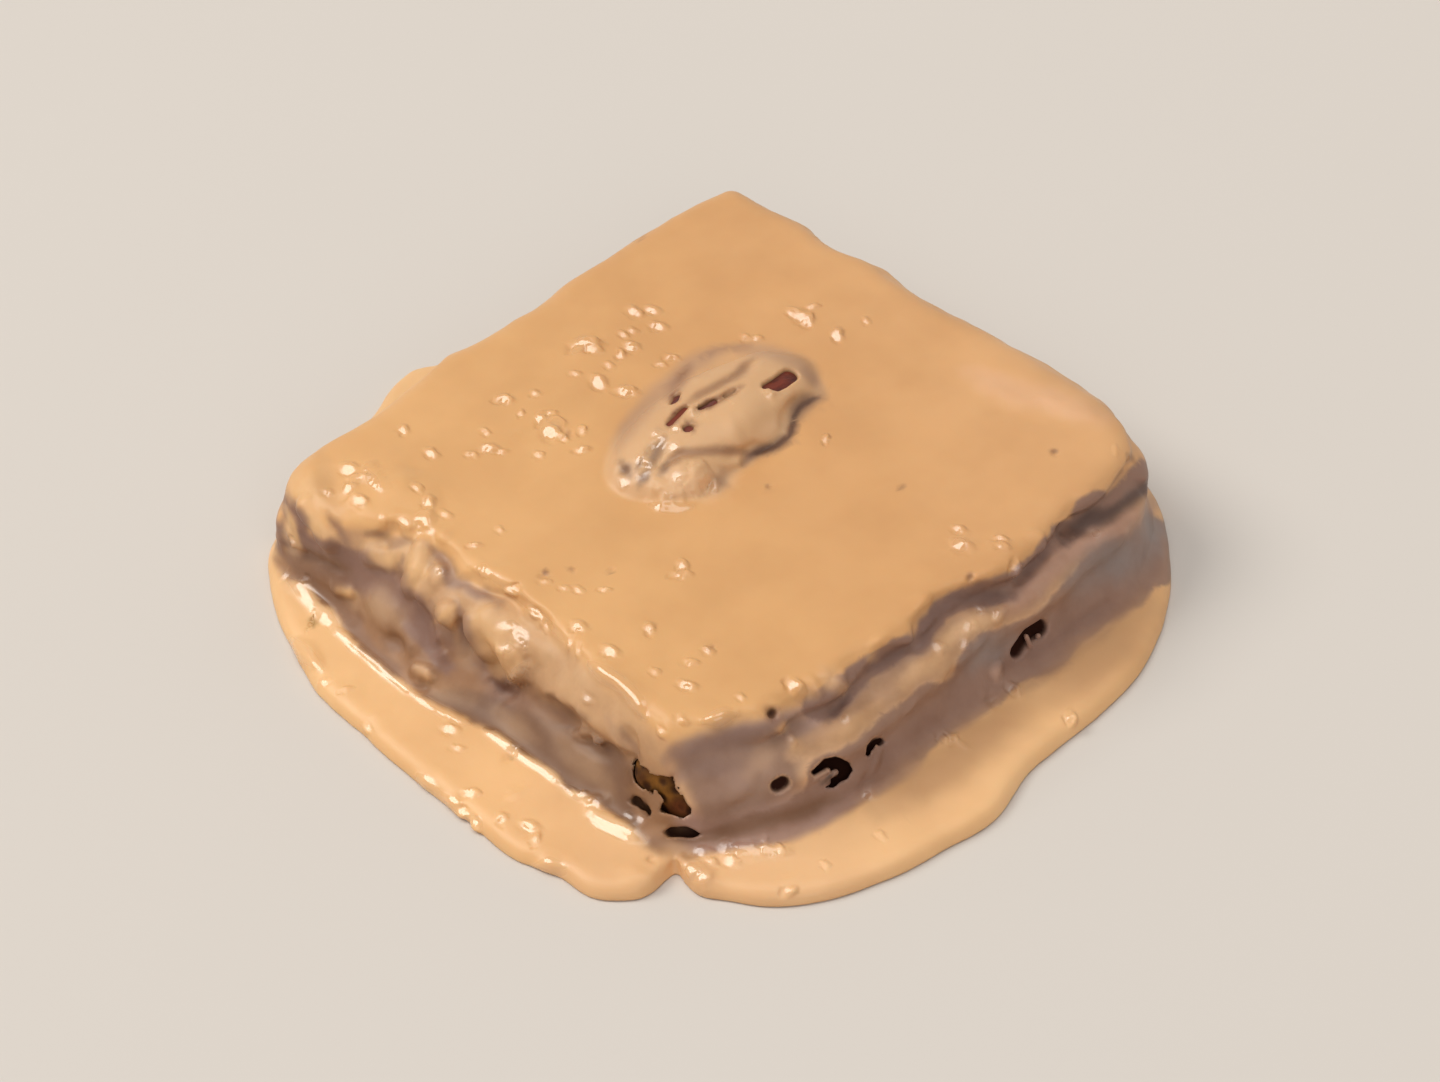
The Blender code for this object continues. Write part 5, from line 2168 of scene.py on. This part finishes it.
def bumped(tree, height, strength, distance, before=None):
    node = tree.nodes.new("ShaderNodeBump")
    node.inputs["Strength"].default_value = strength
    node.inputs["Distance"].default_value = distance
    link(tree, height, node.inputs["Height"])
    if before is not None:
        link(tree, before, node.inputs["Normal"])
    return node.outputs["Normal"]


def coordinates(tree):
    return tree.nodes.new("ShaderNodeTexCoord").outputs["Object"]


# painted shade for the inside of holes and pits
HOLE_SHADE = rgb(46, 22, 14)


def painted(tree, name):
    node = tree.nodes.new("ShaderNodeAttribute")
    node.attribute_type = "GEOMETRY"
    node.attribute_name = name
    return node.outputs["Color"]


def sauce_material():
    made, tree, shader = shader_of("caramel_sauce_look", 0.24)
    where = coordinates(tree)
    mottle = ranged(tree, noise_node(tree, where, 95.0, 3.0), 0.3, 0.7)
    colour = painted(tree, "shade")
    veil = mixed(tree, mottle, rgb(255, 255, 255), rgb(246, 243, 240))
    colour = mixed(tree, 1.0, colour, veil, "MULTIPLY")
    blotch = ranged(tree, noise_node(tree, where, 260.0, 4.0, 0.6), 0.35, 0.75, 0.0, 0.5)
    walls = tree.nodes.new("ShaderNodeMath")
    walls.operation = "MULTIPLY"
    link(tree, attribute(tree, "wall"), walls.inputs[0])
    link(tree, blotch, walls.inputs[1])
    darker = mixed(tree, 1.0, colour, rgb(226, 216, 208), "MULTIPLY")
    colour = mixed(tree, walls.outputs[0], colour, darker)
    # painted shade in holes and pits
    colour = mixed(tree, attribute(tree, "inside"), colour, HOLE_SHADE)
    link(tree, colour, shader.inputs["Base Color"])
    rough = ranged(tree, noise_node(tree, where, 180.0, 2.0), 0.3, 0.7, 0.40, 0.47)
    changes = (
        ranged(tree, attribute(tree, "wall"), 0.2, 0.9, 0.0, 0.06),
        ranged(tree, attribute(tree, "wet"), 0.2, 0.8, 0.0, -0.34),
        ranged(tree, attribute(tree, "inside"), 0.1, 0.6, 0.0, 0.45),
    )
    for change in changes:
        added = tree.nodes.new("ShaderNodeMath")
        added.operation = "ADD"
        link(tree, rough, added.inputs[0])
        link(tree, change, added.inputs[1])
        rough = added.outputs[0]
    link(tree, rough, shader.inputs["Roughness"])
    gloss = ranged(tree, attribute(tree, "inside"), 0.1, 0.6, 0.45, 0.12)
    wetter = ranged(tree, attribute(tree, "wet"), 0.2, 0.8, 0.0, 0.55)
    added = tree.nodes.new("ShaderNodeMath")
    added.operation = "ADD"
    link(tree, gloss, added.inputs[0])
    link(tree, wetter, added.inputs[1])
    link(tree, added.outputs[0], shader.inputs["Specular IOR Level"])
    shader.inputs["IOR"].default_value = 1.45
    shader.inputs["Subsurface Weight"].default_value = 0.2
    shader.inputs["Subsurface Radius"].default_value = (1.0, 0.55, 0.3)
    shader.inputs["Subsurface Scale"].default_value = 0.0010
    fine = noise_node(tree, where, 900.0, 3.0, 0.5)
    link(tree, bumped(tree, fine, 0.25, 0.00004), shader.inputs["Normal"])
    return made


def nut_material():
    made, tree, shader = shader_of("pecan_look", 0.42)
    where = coordinates(tree)
    stretch = tree.nodes.new("ShaderNodeMapping")
    stretch.inputs["Scale"].default_value = (1.0, 0.25, 1.0)
    link(tree, where, stretch.inputs["Vector"])
    streak = ranged(tree, noise_node(tree, stretch.outputs["Vector"], 900.0, 4.0), 0.35, 0.7)
    colour = mixed(tree, streak, rgb(70, 17, 6), rgb(122, 46, 20))
    link(tree, colour, shader.inputs["Base Color"])
    link(tree, bumped(tree, streak, 0.5, 0.0002), shader.inputs["Normal"])
    return made


def crumb_material():
    made, tree, shader = shader_of("crumb_look", 0.75)
    shader.inputs["Specular IOR Level"].default_value = 0.2
    where = coordinates(tree)
    cells = tree.nodes.new("ShaderNodeTexVoronoi")
    cells.inputs["Scale"].default_value = 700.0
    link(tree, where, cells.inputs["Vector"])
    pores = ranged(tree, cells.outputs["Distance"], 0.15, 0.55)
    tone = ranged(tree, noise_node(tree, where, 900.0, 4.0, 0.6), 0.35, 0.65, 0.7, 1.0)
    colour = mixed(tree, 1.0, painted(tree, "shade"), tone, "MULTIPLY")
    darker = mixed(tree, 1.0, colour, rgb(150, 130, 110), "MULTIPLY")
    colour = mixed(tree, pores, darker, colour)
    link(tree, colour, shader.inputs["Base Color"])
    link(tree, bumped(tree, pores, 0.7, 0.0003), shader.inputs["Normal"])
    return made


def floor_material():
    made, tree, shader = shader_of("floor_look", 0.9)
    where = coordinates(tree)
    tone = noise_node(tree, where, 14.0, 2.0)
    colour = mixed(tree, tone, rgb(211, 204, 196), rgb(209, 202, 194))
    link(tree, colour, shader.inputs["Base Color"])
    return made


# ---------------------------------------------------------------- the piece
def give_material(obj, look):
    obj.data.materials.clear()
    obj.data.materials.append(look)


sauce = build_sauce()
give_material(sauce, sauce_material())
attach(sauce, "root")
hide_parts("sauce")

nut = build_nut()
give_material(nut, nut_material())
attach(nut, "root")
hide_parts("pecan")

crumb = build_crumb()
give_material(crumb, crumb_material())
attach(crumb, "root")
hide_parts("cake")


# ---------------------------------------------------------------- floor, light, camera
def build_floor():
    mesh = bpy.data.meshes.new("floor")
    steps = [(-3.0, 0.0), (3.0, 0.0)]
    mesh.from_pydata(
        [(-3.0, -3.0, 0.0), (3.0, -3.0, 0.0), (3.0, 3.0, 0.0), (-3.0, 3.0, 0.0)],
        [],
        [(0, 1, 2, 3)],
    )
    mesh.update()
    floor = new_object("floor", mesh)
    floor.location.z = -0.00002
    give_material(floor, floor_material())
    return floor


def build_light(name, towards, distance, size, power, colour):
    data = bpy.data.lights.new(name, "AREA")
    data.shape = "DISK"
    data.size = size
    data.energy = power
    data.color = colour
    made = bpy.data.objects.new(name, data)
    bpy.context.scene.collection.objects.link(made)
    way = Vector(towards).normalized()
    made.location = way * distance
    made.rotation_euler = way.to_track_quat("Z", "Y").to_euler()
    return made


build_floor()
build_light("key_light", KEY_WAY, 3.0, 1.85, 47.0, (1.0, 0.97, 0.92))
build_light("top_light", (0.0, 0.05, 1.0), 3.0, 2.0, 22.0, (1.0, 0.98, 0.95))
build_light("fill_light", (0.75, -0.45, 0.60), 3.0, 2.2, 16.0, (1.0, 0.97, 0.95))

world = bpy.data.worlds.new("studio")
bpy.context.scene.world = world
world.use_nodes = True
world.node_tree.nodes["Background"].inputs["Color"].default_value = (0.98, 0.965, 0.955, 1.0)
world.node_tree.nodes["Background"].inputs["Strength"].default_value = 0.46

camera_data = bpy.data.cameras.new("camera")
camera_data.sensor_width = 36.0
camera_data.lens = CAM_FOCAL * 36.0 / 1440.0
camera_data.clip_start = 0.01
camera_data.clip_end = 20.0
camera = bpy.data.objects.new("camera", camera_data)
bpy.context.scene.collection.objects.link(camera)
turned = Matrix(np.stack([RIGHT, UP, BACK], 1).tolist()).to_4x4()
camera.matrix_world = Matrix.Translation(Vector((PLACE * MM).tolist())) @ turned
bpy.context.scene.camera = camera
bpy.context.scene.view_settings.view_transform = "Standard"
bpy.context.scene.view_settings.look = "None"

for piece in (sauce, nut, crumb):
    piece.data.calc_loop_triangles()
    print("PIECE", piece.name, len(piece.data.loop_triangles), "triangles")
